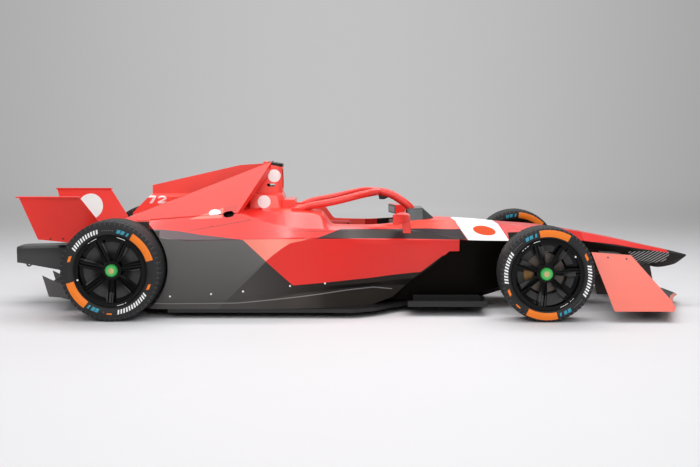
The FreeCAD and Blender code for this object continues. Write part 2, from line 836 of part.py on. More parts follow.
def make_floor():
    inner = rear_wheel_y - rear_tyre_width / 2 - tyre_arch_gap
    edge_x = rear_axle_x + rear_radius + tyre_arch_gap
    half = [(body_x(x), wide(y)) for x, y in floor_outline_shares[:-1]]
    half += [(edge_x, half_body), (edge_x, inner), (tail_x(0.08), inner)]
    outline = [(x, y, floor_bottom) for x, y in half] + [(x, -y, floor_bottom) for x, y in reversed(half)]
    plank = prism(outline, (0, 0, floor_thickness))
    front = body_x(0.872)
    rear = body_x(0.685)
    plate_z = floor_top
    outer = wide(foot_plate_half)
    plate = block(rear, front, wide(0.478), outer, plate_z, plate_z + sheet)
    lip = block(rear, front, outer - sheet, outer, plate_z, plate_z + panel * 2)
    fence = block(body_x(0.70), body_x(0.86), wide(0.62), wide(0.62) + sheet, plate_z, plate_z + panel * 3)
    parts = [plate, lip, fence]
    return fused([plank] + parts + [mirrored(p) for p in parts])


fence_corner_shares = ((0.35, 0.095), (0.53, 0.154), (0.625, 0.162), (0.676, 0.400), (0.588, 0.344))


def make_diffuser(tail):
    """The rising tunnel behind the rear axle line, with four fences and a keel up to the tail."""
    front = tail_x(0.08)
    rear = tail_x(0.59)
    half = wide(0.60)
    rise = high(0.24)
    roof = prism([
        (front, -half, floor_bottom), (rear, -half, floor_bottom + rise),
        (rear, -half, floor_top + rise), (front, -half, floor_top),
    ], (0, 2 * half, 0))
    fence_profile = [(front, floor_bottom)]
    fence_profile += [(tail_x(x), high(z)) for x, z in fence_corner_shares]
    fence_profile.append((front, floor_top))
    fences = []
    for share in (-1.0, -0.36, 0.36, 1.0):
        y = share * (half - sheet / 2) - sheet / 2
        fences.append(prism([(x, y, z) for x, z in fence_profile], (0, sheet, 0)))
    keel = prism([
        (tail_x(0.36), -wide(0.09), high(0.20)), (tail_x(0.57), -wide(0.09), high(0.27)),
        (tail_x(0.60), -wide(0.09), high(0.44)), (tail_x(0.40), -wide(0.09), high(0.44)),
    ], (0, wide(0.18), 0)).cut(tail)
    return fused([roof, keel] + fences)


# Front wing: a swept plane under the nose, an upper plane, endplates and two pylons.
endplate_corner_shares = (
    (0.290, 1.0), (0.521, 0.950), (0.714, 0.21), (0.739, 0.075), (0.729, 0.0), (0.387, 0.0),
)


def endplate_point(x_share, rise_share):
    """A corner of the leaning endplate: share ahead of the front axle, share of its rise."""
    lean = endplate_foot_y - endplate_top_y
    rise = endplate_top_z - endplate_foot_z
    y = endplate_foot_y - lean * rise_share
    return (nose_x(x_share), y, endplate_foot_z + rise * rise_share)


def make_endplate():
    outline = [endplate_point(x, z) for x, z in endplate_corner_shares]
    return prism(outline, (0, -sheet, 0))


def aerofoil(x_lead, x_trail, y, z_lead, z_trail, thickness):
    """A thin wing section: a rounded lead, a crowned back and a fine trailing edge."""
    chord = x_lead - x_trail
    mid = x_lead - chord * 0.3
    slope = (z_trail - z_lead) / chord
    mid_z = z_lead + slope * chord * 0.3
    return polygon([
        (x_lead, y, z_lead),
        (x_lead - chord * 0.06, y, z_lead + thickness * 0.45),
        (mid, y, mid_z + thickness * 0.65),
        (x_trail, y, z_trail + sheet * 0.4),
        (x_trail, y, z_trail),
        (mid, y, mid_z - thickness * 0.35),
        (x_lead - chord * 0.06, y, z_lead - thickness * 0.30),
    ])


def half_wing(sections):
    left = loft([aerofoil(*s) for s in sections])
    return [left, mirrored(left)]


def make_front_wing(nose):
    """Main plane, flaps, upper planes and pylons, cut to the nose and the endplates."""
    y_end = endplate_foot_y
    main = half_wing((
        (nose_x(0.955), nose_x(0.640), 0, high(0.095), high(0.235), wing_thickness),
        (nose_x(0.860), nose_x(0.540), wide(0.40), high(0.125), high(0.215), wing_thickness),
        (nose_x(0.715), nose_x(0.400), y_end, high(0.135), high(0.215), wing_thickness * 0.87),
    ))
    flap = half_wing((
        (nose_x(0.560), nose_x(0.430), wide(0.22), high(0.290), high(0.400), flap_thickness),
        (nose_x(0.470), nose_x(0.330), y_end, high(0.290), high(0.400), flap_thickness),
    ))
    upper = half_wing((
        (nose_x(0.560), nose_x(0.420), wide(0.10), high(0.600), high(0.630), flap_thickness * 0.8),
        (nose_x(0.500), nose_x(0.330), y_end, high(0.635), high(0.665), flap_thickness * 0.8),
    ))
    vane = prism([
        (nose_x(0.330), wide(0.60), high(0.42)), (nose_x(0.36), wide(0.60), high(0.20)),
        (nose_x(0.44), wide(0.60), high(0.20)), (nose_x(0.44), wide(0.60), high(0.42)),
    ], (0, sheet, 0))
    pylon = prism([
        (nose_x(0.794), wide(0.06), high(0.17)), (nose_x(0.757), wide(0.06), high(0.50)),
        (nose_x(0.655), wide(0.06), high(0.50)), (nose_x(0.640), wide(0.06), high(0.22)),
    ], (0, sheet * 1.5, 0))
    wing = fused(main + flap + upper + [vane, mirrored(vane), pylon, mirrored(pylon)])
    outside = prism([endplate_point(x, z) for x, z in
                     ((-0.5, 1.5), (2.0, 1.5), (2.0, -0.5), (-0.5, -0.5))], (0, half_body, 0))
    inside_plate = outside.translated(V(0, -sheet - seam, 0))
    return wing.cut(nose).cut(inside_plate).cut(mirrored(inside_plate))


# Rear wing: canted panels on a low plane.
rear_panel_corner_shares = ((0.826, 1.0), (0.332, 1.0), (0.032, -0.04), (0.708, 0.13))


def rear_panel_point(x_share, rise_share):
    """A corner of the leaning rear panel: share behind the rear axle, share of its rise."""
    lean = rear_panel_top_y - rear_panel_foot_y
    rise = rear_panel_top_z - rear_panel_foot_z
    y = rear_panel_foot_y + lean * rise_share
    return (tail_x(x_share), y, rear_panel_foot_z + rise * rise_share)


def make_rear_panel():
    outline = [rear_panel_point(x, z) for x, z in rear_panel_corner_shares]
    plate = prism(outline, (0, sheet, 0))
    flange = block(tail_x(0.834), tail_x(0.324), rear_panel_top_y - sheet,
                   rear_panel_top_y + rear_panel_flange, rear_panel_top_z - sheet, rear_panel_top_z)
    return plate.fuse(flange).removeSplitter()


def make_beam_wing(panel_left, tail):
    y_end = rear_panel_foot_y + sheet
    halves = half_wing((
        (tail_x(0.28), tail_x(0.66), 0, high(0.715), high(0.770), wing_thickness * 0.87),
        (tail_x(0.20), tail_x(0.66), y_end, high(0.735), high(0.800), wing_thickness * 0.73),
    ))
    post = block(tail_x(0.56), tail_x(0.40), wide(0.10), wide(0.10) + sheet, high(0.60), high(0.735))
    wing = fused(halves + [post, mirrored(post)])
    return wing.cut(panel_left).cut(mirrored(panel_left)).cut(tail)


# Tail: x share behind the rear axle, then half width, keel and top.
tail_station_shares = ((0.62, 0.150, 0.395, 0.684), (0.95, 0.150, 0.476, 0.671), (1.0, 0.140, 0.482, 0.665))
tail_root_shares = (0.186, 0.341, 0.692)


def tail_ring(x, half_share, low, top):
    half = wide(half_share)
    chamfer = half * 0.15
    return polygon(whole_section(x, [
        (0, high(top)), (half - chamfer, high(top)), (half, high(top) - chamfer), (half, high(low)),
        (0, high(low)),
    ]))


def tow_eye_centre():
    return V(tail_x(0.930), 0, high(0.474) - tow_eye_diameter * 0.4)


def make_tow_eye():
    """The ring under the end of the tail that a tow hook goes through."""
    at = tow_eye_centre() - V(0, tow_eye_thickness / 2, 0)
    along = V(0, 1, 0)
    ring = Part.makeCylinder(tow_eye_diameter / 2, tow_eye_thickness, at, along)
    lug = block(at.x - tow_eye_diameter / 2, at.x + tow_eye_diameter / 2, at.y, at.y + tow_eye_thickness,
                at.z, high(0.490))
    bore = Part.makeCylinder(tow_eye_bore_diameter / 2, tow_eye_thickness, at, along)
    return ring.fuse(lug).cut(bore)


def make_tail():
    """The crash structure behind the drive unit, with the tow eye under its end."""
    rings = [tail_ring(tail_joint_x, *tail_root_shares)]
    for x, half_share, low, top in tail_station_shares:
        rings.append(tail_ring(tail_x(x), half_share, low, top))
    return loft(rings).fuse(make_tow_eye()).removeSplitter()


def make_battery():
    return block(body_x(0.180), body_x(0.350), -wide(0.470), wide(0.470), floor_top, high(0.86))


def make_drive_unit():
    """Motor, gearbox and inverter in one case that tapers to the tail."""
    stations = (
        (body_x(0.178), 0.36, 0.10, 0.80),
        (body_x(0.090), 0.30, 0.14, 0.76),
        (body_x(0.000), 0.22, 0.20, 0.70),
        (tail_joint_x, 0.186, 0.30, 0.692),
    )
    wires = []
    for x, y, low, top in stations:
        foot = max(high(low), floor_top)
        half = [(0, high(top)), (wide(y) * 0.7, high(top)), (wide(y), high(top - 0.12)),
                (wide(y), high(low + 0.1)), (wide(y) * 0.7, foot), (0, foot)]
        wires.append(polygon(whole_section(x, half)))
    return loft(wires)


# Wheels. A revolved part is drawn in the plane of y (across) and r (radius).
def revolved(outline, centre):
    """Turn an outline of (y, r) points and arcs about the wheel's axis."""
    edges = []
    for piece in outline:
        points = [V(0, y, r) for y, r in piece]
        if len(points) == 2:
            edges.append(Part.makeLine(points[0], points[1]))
        else:
            edges.append(Part.Arc(*points).toShape())
    ring = Part.Face(Part.Wire(edges)).revolve(V(0, 0, 0), V(0, 1, 0), 360)
    ring.translate(V(*centre))
    return ring


def chain(points):
    """Straight pieces through the points, closed."""
    return [(points[i], points[(i + 1) % len(points)]) for i in range(len(points))]


def make_tyre(centre, width, diameter):
    half = width / 2
    radius = diameter / 2
    seat = rim_seat_diameter / 2 + seam
    flange = rim_flange_diameter / 2
    height = radius - seat
    shoulder_y = half * 0.90
    shoulder_r = radius - height * 0.07
    crown_r = radius - height * 0.015
    bulge_r = seat + height * 0.52
    bead_y = rim_half(width) - rim_wall * 1.5 - seam
    lip_r = flange + seam
    outline = [
        ((-shoulder_y, shoulder_r), (0, radius), (shoulder_y, shoulder_r)),
        ((shoulder_y, shoulder_r), (half, bulge_r), (bead_y, lip_r)),
        ((bead_y, lip_r), (bead_y, seat)),
        ((bead_y, seat), (-bead_y, seat)),
        ((-bead_y, seat), (-bead_y, lip_r)),
        ((-bead_y, lip_r), (-half, bulge_r), (-shoulder_y, shoulder_r)),
    ]
    return revolved(outline, centre)


def make_rim(centre, width, outer_sign, turn, web_bore):
    """Barrel, flanges, hub, seven spokes and the web behind. outer_sign is 1 on the left side."""
    seat = rim_seat_diameter / 2
    flange = rim_flange_diameter / 2
    wall = rim_wall
    outer = rim_half(width)
    barrel = revolved(chain([
        (-outer, seat - wall), (-outer, flange), (-outer + wall, flange), (-outer + wall * 1.5, seat),
        (outer - wall * 1.5, seat), (outer - wall, flange), (outer, flange), (outer, seat - wall),
    ]), (0, 0, 0))
    hub_face = outer - rim_dish
    hub_back = -outer * 0.1
    bore = hub_bore_diameter / 2
    hub = revolved(chain([
        (hub_back, bore), (hub_back, hub_diameter / 2 * 1.15), (hub_face, hub_diameter / 2),
        (hub_face, bore),
    ]), (0, 0, 0))
    pieces = [barrel, hub, rim_web(outer, web_bore)]
    for i in range(spoke_count):
        angle = turn + 360 * i / spoke_count
        pieces.append(make_spoke(outer, hub_face).rotated(V(0, 0, 0), V(0, 1, 0), angle))
    rim = fused(pieces)
    if outer_sign < 0:
        rim = mirrored(rim)
    rim.translate(V(*centre))
    return rim


def rim_half(width):
    """Half the rim's width, to the outside of its flange."""
    return width / 2 - rim_wall * 1.6


def rim_web(outer, bore):
    """The dished plate behind the spokes, open in its middle."""
    edge_r = rim_seat_diameter / 2 - rim_wall / 2
    edge_y = outer - rim_dish
    root_y = outer - rim_dish * 1.4
    return revolved(chain([
        (edge_y - web_thickness, edge_r), (edge_y, edge_r),
        (root_y, bore / 2), (root_y - web_thickness, bore / 2),
    ]), (0, 0, 0))


def make_spoke(outer, hub_face):
    """A spoke along Z that widens to a twin ridged blade at the barrel."""
    root_r = hub_diameter / 2 * 0.8
    tip_r = rim_seat_diameter / 2 - rim_wall / 2
    tip_face = outer - rim_wall * 2.5

    def ring(r, face, half):
        groove = face - spoke_depth * 0.35
        edge = face - spoke_depth * 0.12
        back = face - spoke_depth
        return polygon([
            (-half, back, r), (-half, edge, r), (-half * 0.75, face, r), (-half * 0.50, face, r),
            (-half * 0.25, groove, r), (half * 0.25, groove, r), (half * 0.50, face, r),
            (half * 0.75, face, r), (half, edge, r), (half, back, r),
        ])

    blade_face = hub_face + (tip_face - hub_face) * 0.45
    return loft([
        ring(root_r, hub_face, spoke_root_width / 2),
        ring(spoke_blade_radius, blade_face, spoke_width / 2),
        ring(tip_r, tip_face, spoke_width / 2),
    ])


def make_nut(centre, width, outer_sign):
    """The centre lock nut, with a hexagon socket boss in its middle."""
    outer = rim_half(width)
    face = outer - rim_dish + seam
    radius = nut_diameter / 2
    bore = nut_bore_diameter / 2
    ring = revolved(chain([
        (face, bore), (face, radius), (face + nut_height * 0.7, radius), (face + nut_height, radius * 0.86),
        (face + nut_height, bore),
    ]), (0, 0, 0))
    if outer_sign < 0:
        ring = mirrored(ring)
    ring.translate(V(*centre))
    return ring


def bell_radius():
    return disc_diameter / 2 * 0.58


def disc_face(width):
    """Distance of the disc bell's outer face from the middle of the wheel."""
    return -rim_half(width) * 0.1 - seam


def make_disc(centre, width, outer_sign):
    """A brake disc with its bell, fixed to the back of the hub."""
    face = disc_face(width)
    front = face - sheet
    back = front - disc_thickness
    inner = hub_bore_diameter / 2 + moving_clearance
    bell = bell_radius()
    radius = disc_diameter / 2
    disc = revolved(chain([
        (face, inner), (face, bell), (front, bell), (front, radius), (back, radius),
        (back, bell - sheet), (front, bell - sheet), (front, inner),
    ]), (0, 0, 0))
    if outer_sign < 0:
        disc = mirrored(disc)
    disc.translate(V(*centre))
    return disc


def stub_length(width):
    outer = rim_half(width)
    return outer - rim_dish + nut_height * 0.8


def make_stub(centre, width, inner_y):
    """The stub axle on the left side: it fills the hub bore and carries the nut."""
    x, y, z = centre
    outer = rim_half(width)
    shank = rod((x, inner_y, z), (x, y + outer - rim_dish, z), hub_bore_diameter - 2 * bore_clearance)
    thread = rod((x, inner_y, z), (x, y + stub_length(width), z), nut_bore_diameter - 2 * bore_clearance)
    return shank.fuse(thread)


def make_wheels():
    for axle, axle_x, y, width, diameter, turn, bore in (
        ("front", front_axle_x, front_wheel_y, front_tyre_width, front_tyre_diameter,
         front_spoke_turn, front_web_bore_diameter),
        ("rear", rear_axle_x, rear_wheel_y, rear_tyre_width, rear_tyre_diameter,
         rear_spoke_turn, rear_web_bore_diameter),
    ):
        for side_name, side in (("left", 1), ("right", -1)):
            centre = (axle_x, side * y, diameter / 2)
            tag = axle + "_" + side_name
            save("tyre_" + tag, make_tyre(centre, width, diameter))
            save("rim_" + tag, make_rim(centre, width, side, turn, bore))
            save("wheel_nut_" + tag, make_nut(centre, width, side))
            if axle == "front":
                save("brake_disc_" + tag, make_disc(centre, width, side))


# Front corner
def make_knuckle():
    """The left upright with its stub axle, kingpin pins, steering arm and caliper."""
    z = front_radius
    centre = (front_axle_x, front_wheel_y, z)
    half_x = pin_diameter * 1.6
    inner = kingpin_y - pin_diameter
    back = front_wheel_y + disc_face(front_tyre_width) - sheet - disc_thickness - moving_clearance
    upright = block(front_axle_x - half_x, front_axle_x + half_x, inner, back,
                    z - ball_height + arm_blade_height, z + ball_height - arm_blade_height)
    stub = make_stub(centre, front_tyre_width, inner)
    pin_reach = ball_height + arm_blade_height / 2
    foot = V(front_axle_x, kingpin_y, z - pin_reach)
    pins = Part.makeCylinder(pin_diameter / 2, pin_reach * 2, foot)
    arm = block(front_axle_x, rack_x() + pin_diameter,
                kingpin_y - pin_diameter, kingpin_y + pin_diameter * 0.6,
                rack_z() - pin_diameter * 1.6, rack_z() - pin_diameter * 0.6)
    rod_pin = rod((rack_x(), kingpin_y, rack_z() - pin_diameter * 1.2),
                  (rack_x(), kingpin_y, rack_z() + pin_diameter * 0.6), pin_diameter * 0.8)
    return fused([upright, stub, arm, rod_pin, pins, make_caliper()])


def make_caliper():
    """The brake caliper over the rear edge of the disc, with its bracket to the upright."""
    front = front_wheel_y + disc_face(front_tyre_width) - sheet
    back = front - disc_thickness
    cover = moving_clearance
    radius = disc_diameter / 2
    half_height = radius * 0.45
    rear_x = front_axle_x - radius - panel
    cheek_x = front_axle_x - bell_radius() - moving_clearance
    body = block(rear_x, cheek_x, back - cover - panel, front + cover + panel,
                 front_radius - half_height, front_radius + half_height)
    slot = Part.makeCylinder(radius + cover, disc_thickness + 2 * cover,
                             V(front_axle_x, back - cover, front_radius), V(0, 1, 0))
    bracket = block(cheek_x - panel, front_axle_x, back - cover - panel, back - cover,
                    front_radius - panel, front_radius + panel)
    return body.cut(slot).fuse(bracket)


def blade(start, end, width, height):
    """A flattened suspension leg: a hexagon section between two points."""
    a = V(*start)
    b = V(*end)
    along = (b - a).normalize()
    across = along.cross(V(0, 0, 1)).normalize()
    up = across.cross(along).normalize()

    def ring(at):
        corners = []
        for u, v in ((0.5, 0), (0.25, 0.5), (-0.25, 0.5), (-0.5, 0), (-0.25, -0.5), (0.25, -0.5)):
            p = at + across * (u * width) + up * (v * height)
            corners.append((p.x, p.y, p.z))
        return polygon(corners)

    return loft([ring(a), ring(b)])


def eye(x, y, z):
    """The round end of a wishbone, bored for the ball pin."""
    ring = Part.makeCylinder(pin_diameter * 1.1, arm_blade_height, V(x, y, z - arm_blade_height / 2))
    bore = Part.makeCylinder(pin_diameter / 2 + bore_clearance, arm_blade_height + 2 * overrun,
                             V(x, y, z - arm_blade_height / 2 - overrun))
    return ring, bore


def make_wishbone(ball, fore, aft):
    x, y, z = ball
    ring, bore = eye(x, y, z)
    root = (x, y - pin_diameter * 0.6, z)
    legs = [blade(end, root, arm_blade_width, arm_blade_height) for end in (fore, aft)]
    return fused([ring] + legs).cut(bore)


def make_front_suspension(cell):
    x = front_axle_x
    z = front_radius
    inner_y = wide(0.30)
    spread = wheelbase * 0.085
    upper = make_wishbone((x, kingpin_y, z + ball_height), (x + spread * 0.7, inner_y, high(0.68)),
                          (x - spread, inner_y, high(0.70)))
    lower = make_wishbone((x, kingpin_y, z - ball_height), (x + spread * 0.8, inner_y, high(0.38)),
                          (x - spread * 1.1, inner_y, high(0.36)))
    pushrod = rod((x, kingpin_y - pin_diameter * 2, z - ball_height + arm_blade_height / 4),
                  (x - pin_diameter, inner_y, high(0.72)), pin_diameter)
    return fused([upper.cut(cell), lower.cut(cell), pushrod.cut(cell)])


def make_track_rod():
    """The rod from the steering arm to the rack, free in the cell's cross tunnel."""
    x = rack_x()
    z = rack_z()
    bore = pin_diameter * 0.4 + bore_clearance
    end = Part.makeCylinder(pin_diameter, pin_diameter * 0.9, V(x, kingpin_y, z - pin_diameter * 0.45))
    bar = rod((x, kingpin_y, z), (x, wide(0.30) - rack_reach, z), track_rod_diameter)
    hole = Part.makeCylinder(bore, 4 * pin_diameter, V(x, kingpin_y, z - 2 * pin_diameter))
    return end.fuse(bar).cut(hole)


# Rear corner
def make_rear_suspension(drive):
    """Wishbones, driveshaft, upright and stub axle of the left rear wheel."""
    x = rear_axle_x
    z = rear_radius
    ball_y = rear_wheel_y - rear_tyre_width / 2 + pin_diameter * 2
    inner_y = wide(0.12)
    spread = wheelbase * 0.085
    upright = block(x - pin_diameter * 1.8, x + pin_diameter * 1.8, ball_y - pin_diameter,
                    ball_y + pin_diameter * 1.6, z - ball_height, z + ball_height)
    stub = make_stub((x, rear_wheel_y, z), rear_tyre_width, ball_y)
    legs = []
    for height, inner_z, fore, aft in ((0.92, high(0.62), spread, -spread * 0.8),
                                       (-0.92, high(0.34), spread * 1.1, -spread * 0.7)):
        outer = (x, ball_y - pin_diameter * 0.6, z + ball_height * height)
        legs.append(blade((x + fore, inner_y, inner_z), outer, arm_blade_width, arm_blade_height))
        legs.append(blade((x + aft, inner_y, inner_z), outer, arm_blade_width, arm_blade_height))
    shaft = rod((x, inner_y, z), (x, ball_y, z), pin_diameter * 1.8)
    return fused([upright, stub, shaft] + legs).cut(drive)


def main():
    cell = make_cell()
    nose = make_nose()
    pod = make_pod()
    cover = make_engine_cover(cell)
    pod = pod.cut(cover).cut(side_outlet())
    buttress = make_buttress(cover, pod, cell)
    halo = make_halo(cell, cover)
    tail = make_tail()
    drive = make_drive_unit()
    rear_panel = make_rear_panel()
    endplate = make_endplate()
    save("monocoque", cell)
    save("nose_cone", nose)
    save("engine_cover", cover)
    save_pair("sidepod", pod)
    save_pair("buttress", buttress)
    save("halo", halo)
    save("windscreen", make_windscreen(cell, halo))
    save("seat", make_seat())
    save("head_rest", make_head_rest())
    save("steering_wheel", make_steering_wheel())
    save_pair("mirror", make_mirror(cell, pod))
    save("floor", make_floor())
    save("diffuser", make_diffuser(tail))
    save("front_wing", make_front_wing(nose))
    save_pair("endplate", endplate)
    save_pair("rear_wing", rear_panel)
    save("beam_wing", make_beam_wing(rear_panel, tail))
    save("tail_structure", tail)
    save("battery", make_battery())
    save("drive_unit", drive)
    save_pair("front_suspension", make_front_suspension(cell))
    save_pair("rear_suspension", make_rear_suspension(drive))
    save_pair("knuckle", make_knuckle())
    save_pair("track_rod", make_track_rod())
    make_wheels()


main()
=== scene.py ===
import json
import math

import bpy
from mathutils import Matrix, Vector
from mathutils.bvhtree import BVHTree


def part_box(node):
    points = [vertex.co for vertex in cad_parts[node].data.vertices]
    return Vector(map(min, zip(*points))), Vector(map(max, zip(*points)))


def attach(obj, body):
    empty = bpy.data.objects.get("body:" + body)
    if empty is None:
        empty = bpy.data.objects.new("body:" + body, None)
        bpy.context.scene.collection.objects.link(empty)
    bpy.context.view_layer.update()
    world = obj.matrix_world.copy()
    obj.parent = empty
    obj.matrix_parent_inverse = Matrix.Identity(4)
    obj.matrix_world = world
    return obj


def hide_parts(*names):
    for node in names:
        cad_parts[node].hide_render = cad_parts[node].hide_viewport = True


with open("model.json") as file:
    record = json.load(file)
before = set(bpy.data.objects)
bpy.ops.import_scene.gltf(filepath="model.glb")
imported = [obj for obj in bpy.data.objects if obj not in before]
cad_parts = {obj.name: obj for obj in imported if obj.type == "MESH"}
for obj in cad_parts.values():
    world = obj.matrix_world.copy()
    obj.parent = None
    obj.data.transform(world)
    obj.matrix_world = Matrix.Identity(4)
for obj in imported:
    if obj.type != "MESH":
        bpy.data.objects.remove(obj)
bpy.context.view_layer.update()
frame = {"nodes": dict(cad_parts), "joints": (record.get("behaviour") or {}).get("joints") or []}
nodes = frame["nodes"]

# The open wheel racing car, dressed over its frame. X forward, Y to the left, Z up, in metres.

SIDES = (("left", 1), ("right", -1))
AXLES = ("front", "rear")

# Where the wheels turn, read from the frame.
HUB = {joint["name"]: Vector(joint["pos_m"]) for joint in frame["joints"]}


# Node materials

def rgb(text):
    """A display colour, written as on screen, in linear light."""
    values = [int(text[i:i + 2], 16) / 255 for i in (0, 2, 4)]
    linear = [v / 12.92 if v <= 0.04045 else ((v + 0.055) / 1.055) ** 2.4 for v in values]
    return (*linear, 1.0)


def darker(color, factor):
    return tuple(c * factor for c in color[:3]) + (1.0,)


EDGE = 2500.0  # how sharply a painted edge turns, per metre
SOCKETS = {"color": "Base Color", "rough": "Roughness", "metal": "Metallic", "coat": "Coat Weight",
           "coat_rough": "Coat Roughness", "sheen": "Sheen Weight", "specular": "Specular IOR Level",
           "tint": "Specular Tint"}


class Shader:
    """A node material with short calls for maths on the position in the car's frame."""

    def __init__(self, name):
        self.material = bpy.data.materials.new(name)
        self.material.use_nodes = True
        self.tree = self.material.node_tree
        self.bsdf = self.tree.nodes["Principled BSDF"]
        coordinates = self.tree.nodes.new("ShaderNodeTexCoord")
        self.position = coordinates.outputs["Object"]
        self.x, self.y, self.z = self.split(self.position)
        self.normal_x, self.normal_y, self.normal_z = self.split(coordinates.outputs["Normal"])
        self.aside = self.math("ABSOLUTE", self.y)

    def split(self, vector):
        node = self.tree.nodes.new("ShaderNodeSeparateXYZ")
        self.tree.links.new(vector, node.inputs[0])
        return node.outputs

    def link(self, value, socket):
        if hasattr(value, "is_linked"):
            self.tree.links.new(value, socket)
        else:
            socket.default_value = value

    def math(self, operation, *values, clamp=False):
        node = self.tree.nodes.new("ShaderNodeMath")
        node.operation = operation
        node.use_clamp = clamp
        for value, socket in zip(values, node.inputs):
            self.link(value, socket)
        return node.outputs[0]

    def times(self, a, b):
        return self.math("MULTIPLY", a, b)

    def minus(self, a, b):
        return self.math("SUBTRACT", a, b)

    def scaled(self, value, factor, start, clamp=False):
        """The value times a factor, and a start added to it."""
        return self.math("MULTIPLY_ADD", value, factor, start, clamp=clamp)

    def mix(self, factor, a, b):
        """A colour between a and b."""
        node = self.tree.nodes.new("ShaderNodeMix")
        node.data_type = "RGBA"
        for value, socket in ((factor, 0), (a, 6), (b, 7)):
            self.link(value, node.inputs[socket])
        return node.outputs[2]

    def blend(self, factor, a, b):
        """A number between a and b."""
        node = self.tree.nodes.new("ShaderNodeMix")
        for value, socket in ((factor, 0), (a, 2), (b, 3)):
            self.link(value, node.inputs[socket])
        return node.outputs[0]

    def spread(self, value, low, high):
        """A number from low to high as the value goes from 0 to 1."""
        return self.scaled(value, high - low, low)

    def outward(self):
        """How far the surface faces away from the centre plane, from -1 to 1."""
        return self.times(self.normal_y, self.math("SIGN", self.y))

    def noise(self, scale, detail=3.0, roughness=0.5):
        node = self.tree.nodes.new("ShaderNodeTexNoise")
        self.tree.links.new(self.position, node.inputs["Vector"])
        node.inputs["Scale"].default_value = scale
        node.inputs["Detail"].default_value = detail
        node.inputs["Roughness"].default_value = roughness
        return node.outputs["Fac"]

    def more(self, value, limit, edge=EDGE):
        """1 where the value is above the limit, else 0."""
        return self.scaled(self.minus(value, limit), edge, 0.5, clamp=True)

    def less(self, value, limit, edge=EDGE):
        return self.more(limit, value, edge)

    def between(self, value, low, high, edge=EDGE):
        return self.both(self.more(value, low, edge), self.less(value, high, edge))

    def polygon(self, points, u=None, v=None):
        """1 inside a convex outline given anticlockwise in two coordinates, else 0."""
        u = self.x if u is None else u
        v = self.z if v is None else v
        inside = None
        for (u0, v0), (u1, v1) in zip(points, points[1:] + points[:1]):
            length = math.hypot(u1 - u0, v1 - v0)
            a = -(v1 - v0) / length * EDGE
            b = (u1 - u0) / length * EDGE
            part = self.scaled(u, a, 0.5 - a * u0 - b * v0)
            part = self.scaled(v, b, part)
            inside = part if inside is None else self.math("MINIMUM", inside, part)
        return self.math("ADD", inside, 0.0, clamp=True)

    def line(self, points, u=None):
        """The height of a bent line of points with rising first coordinate, over that coordinate."""
        u = self.x if u is None else u
        height = points[0][1]
        for (u0, v0), (u1, v1) in zip(points, points[1:]):
            along = self.minus(self.math("MINIMUM", self.math("MAXIMUM", u, u0), u1), u0)
            height = self.scaled(along, (v1 - v0) / (u1 - u0), height)
        return height

    def seam(self, points, wide):
        """1 on a narrow line of (x, z) points, else 0."""
        off = self.math("ABSOLUTE", self.minus(self.z, self.line(points)))
        return self.both(self.less(off, wide / 2), self.between(self.x, points[0][0], points[-1][0]))

    def oval(self, u, v, centre, radii):
        """1 inside an oval in two coordinates, else 0."""
        a = self.math("DIVIDE", self.minus(u, centre[0]), radii[0])
        b = self.math("DIVIDE", self.minus(v, centre[1]), radii[1])
        out = self.math("SQRT", self.scaled(a, a, self.times(b, b)))
        return self.less(out, 1.0, edge=40.0)

    def polar(self, centre):
        """The distance from a wheel's axis and the turn round it, where 1 is a whole turn."""
        right, up = self.minus(self.x, centre.x), self.minus(self.z, centre.z)
        out = self.math("SQRT", self.scaled(right, right, self.times(up, up)))
        return out, self.times(self.math("ARCTAN2", up, right), 1 / (2 * math.pi))

    def any_of(self, *masks):
        total = masks[0]
        for mask in masks[1:]:
            total = self.math("MAXIMUM", total, mask)
        return total

    def both(self, *masks):
        total = masks[0]
        for mask in masks[1:]:
            total = self.times(total, mask)
        return total

    def outside(self, mask):
        return self.minus(1.0, mask)

    def weave(self, tow):
        """A two by two twill: 1 on the tows that run one way and 0 on the others."""
        u = self.math("FLOOR", self.math("DIVIDE", self.x, tow))
        v = self.math("FLOOR", self.math("DIVIDE", self.math("ADD", self.aside, self.z), tow))
        step = self.math("FLOORED_MODULO", self.math("ADD", u, v), 4.0)
        return self.math("LESS_THAN", step, 1.5)

    def grey(self, level):
        return self.mix(level, (0.0, 0.0, 0.0, 1.0), (1.0, 0.98, 1.0, 1.0))

    def bump(self, height, strength, distance):
        node = self.tree.nodes.new("ShaderNodeBump")
        node.inputs["Strength"].default_value = strength
        node.inputs["Distance"].default_value = distance
        self.tree.links.new(height, node.inputs["Height"])
        self.tree.links.new(node.outputs[0], self.bsdf.inputs["Normal"])

    def set(self, **values):
        for key, value in values.items():
            self.link(value, self.bsdf.inputs[SOCKETS[key]])


# Colours

BLACK = (0.0, 0.0, 0.0, 1.0)
RED = rgb("EE221C")
# A pale red painted on the pod's facet as a highlight.
PALE_RED_HIGHLIGHT = rgb("FF836F")
# A pale red painted on a facet by the outlet as a highlight.
FACET_HIGHLIGHT_RED = rgb("FFA090")
# A brighter copy of the red for the engine cover, as painted light.
COVER_RED_LIT = rgb("FF4F44")
# A brighter copy of the red for the rear wing's panels, as painted light.
PANEL_RED_LIT = rgb("FF342B")
# A pale salmon red for the endplates and the front wing's lip: red paint with a painted highlight.
PLATE_RED_HIGHLIGHT = rgb("FF7C6C")
# A lighter and a darker copy of the cell's red, painted on its upward faces and its sides as light and shade.
CELL_TOP_LIT = rgb("FF4A3A")
CELL_SIDE_SHADED = rgb("D61710")
FOOT_RED = rgb("F02A1E")
# A darker red painted on a facet of the buttress as shade.
FOOT_PAINTED_SHADE = rgb("D4241C")
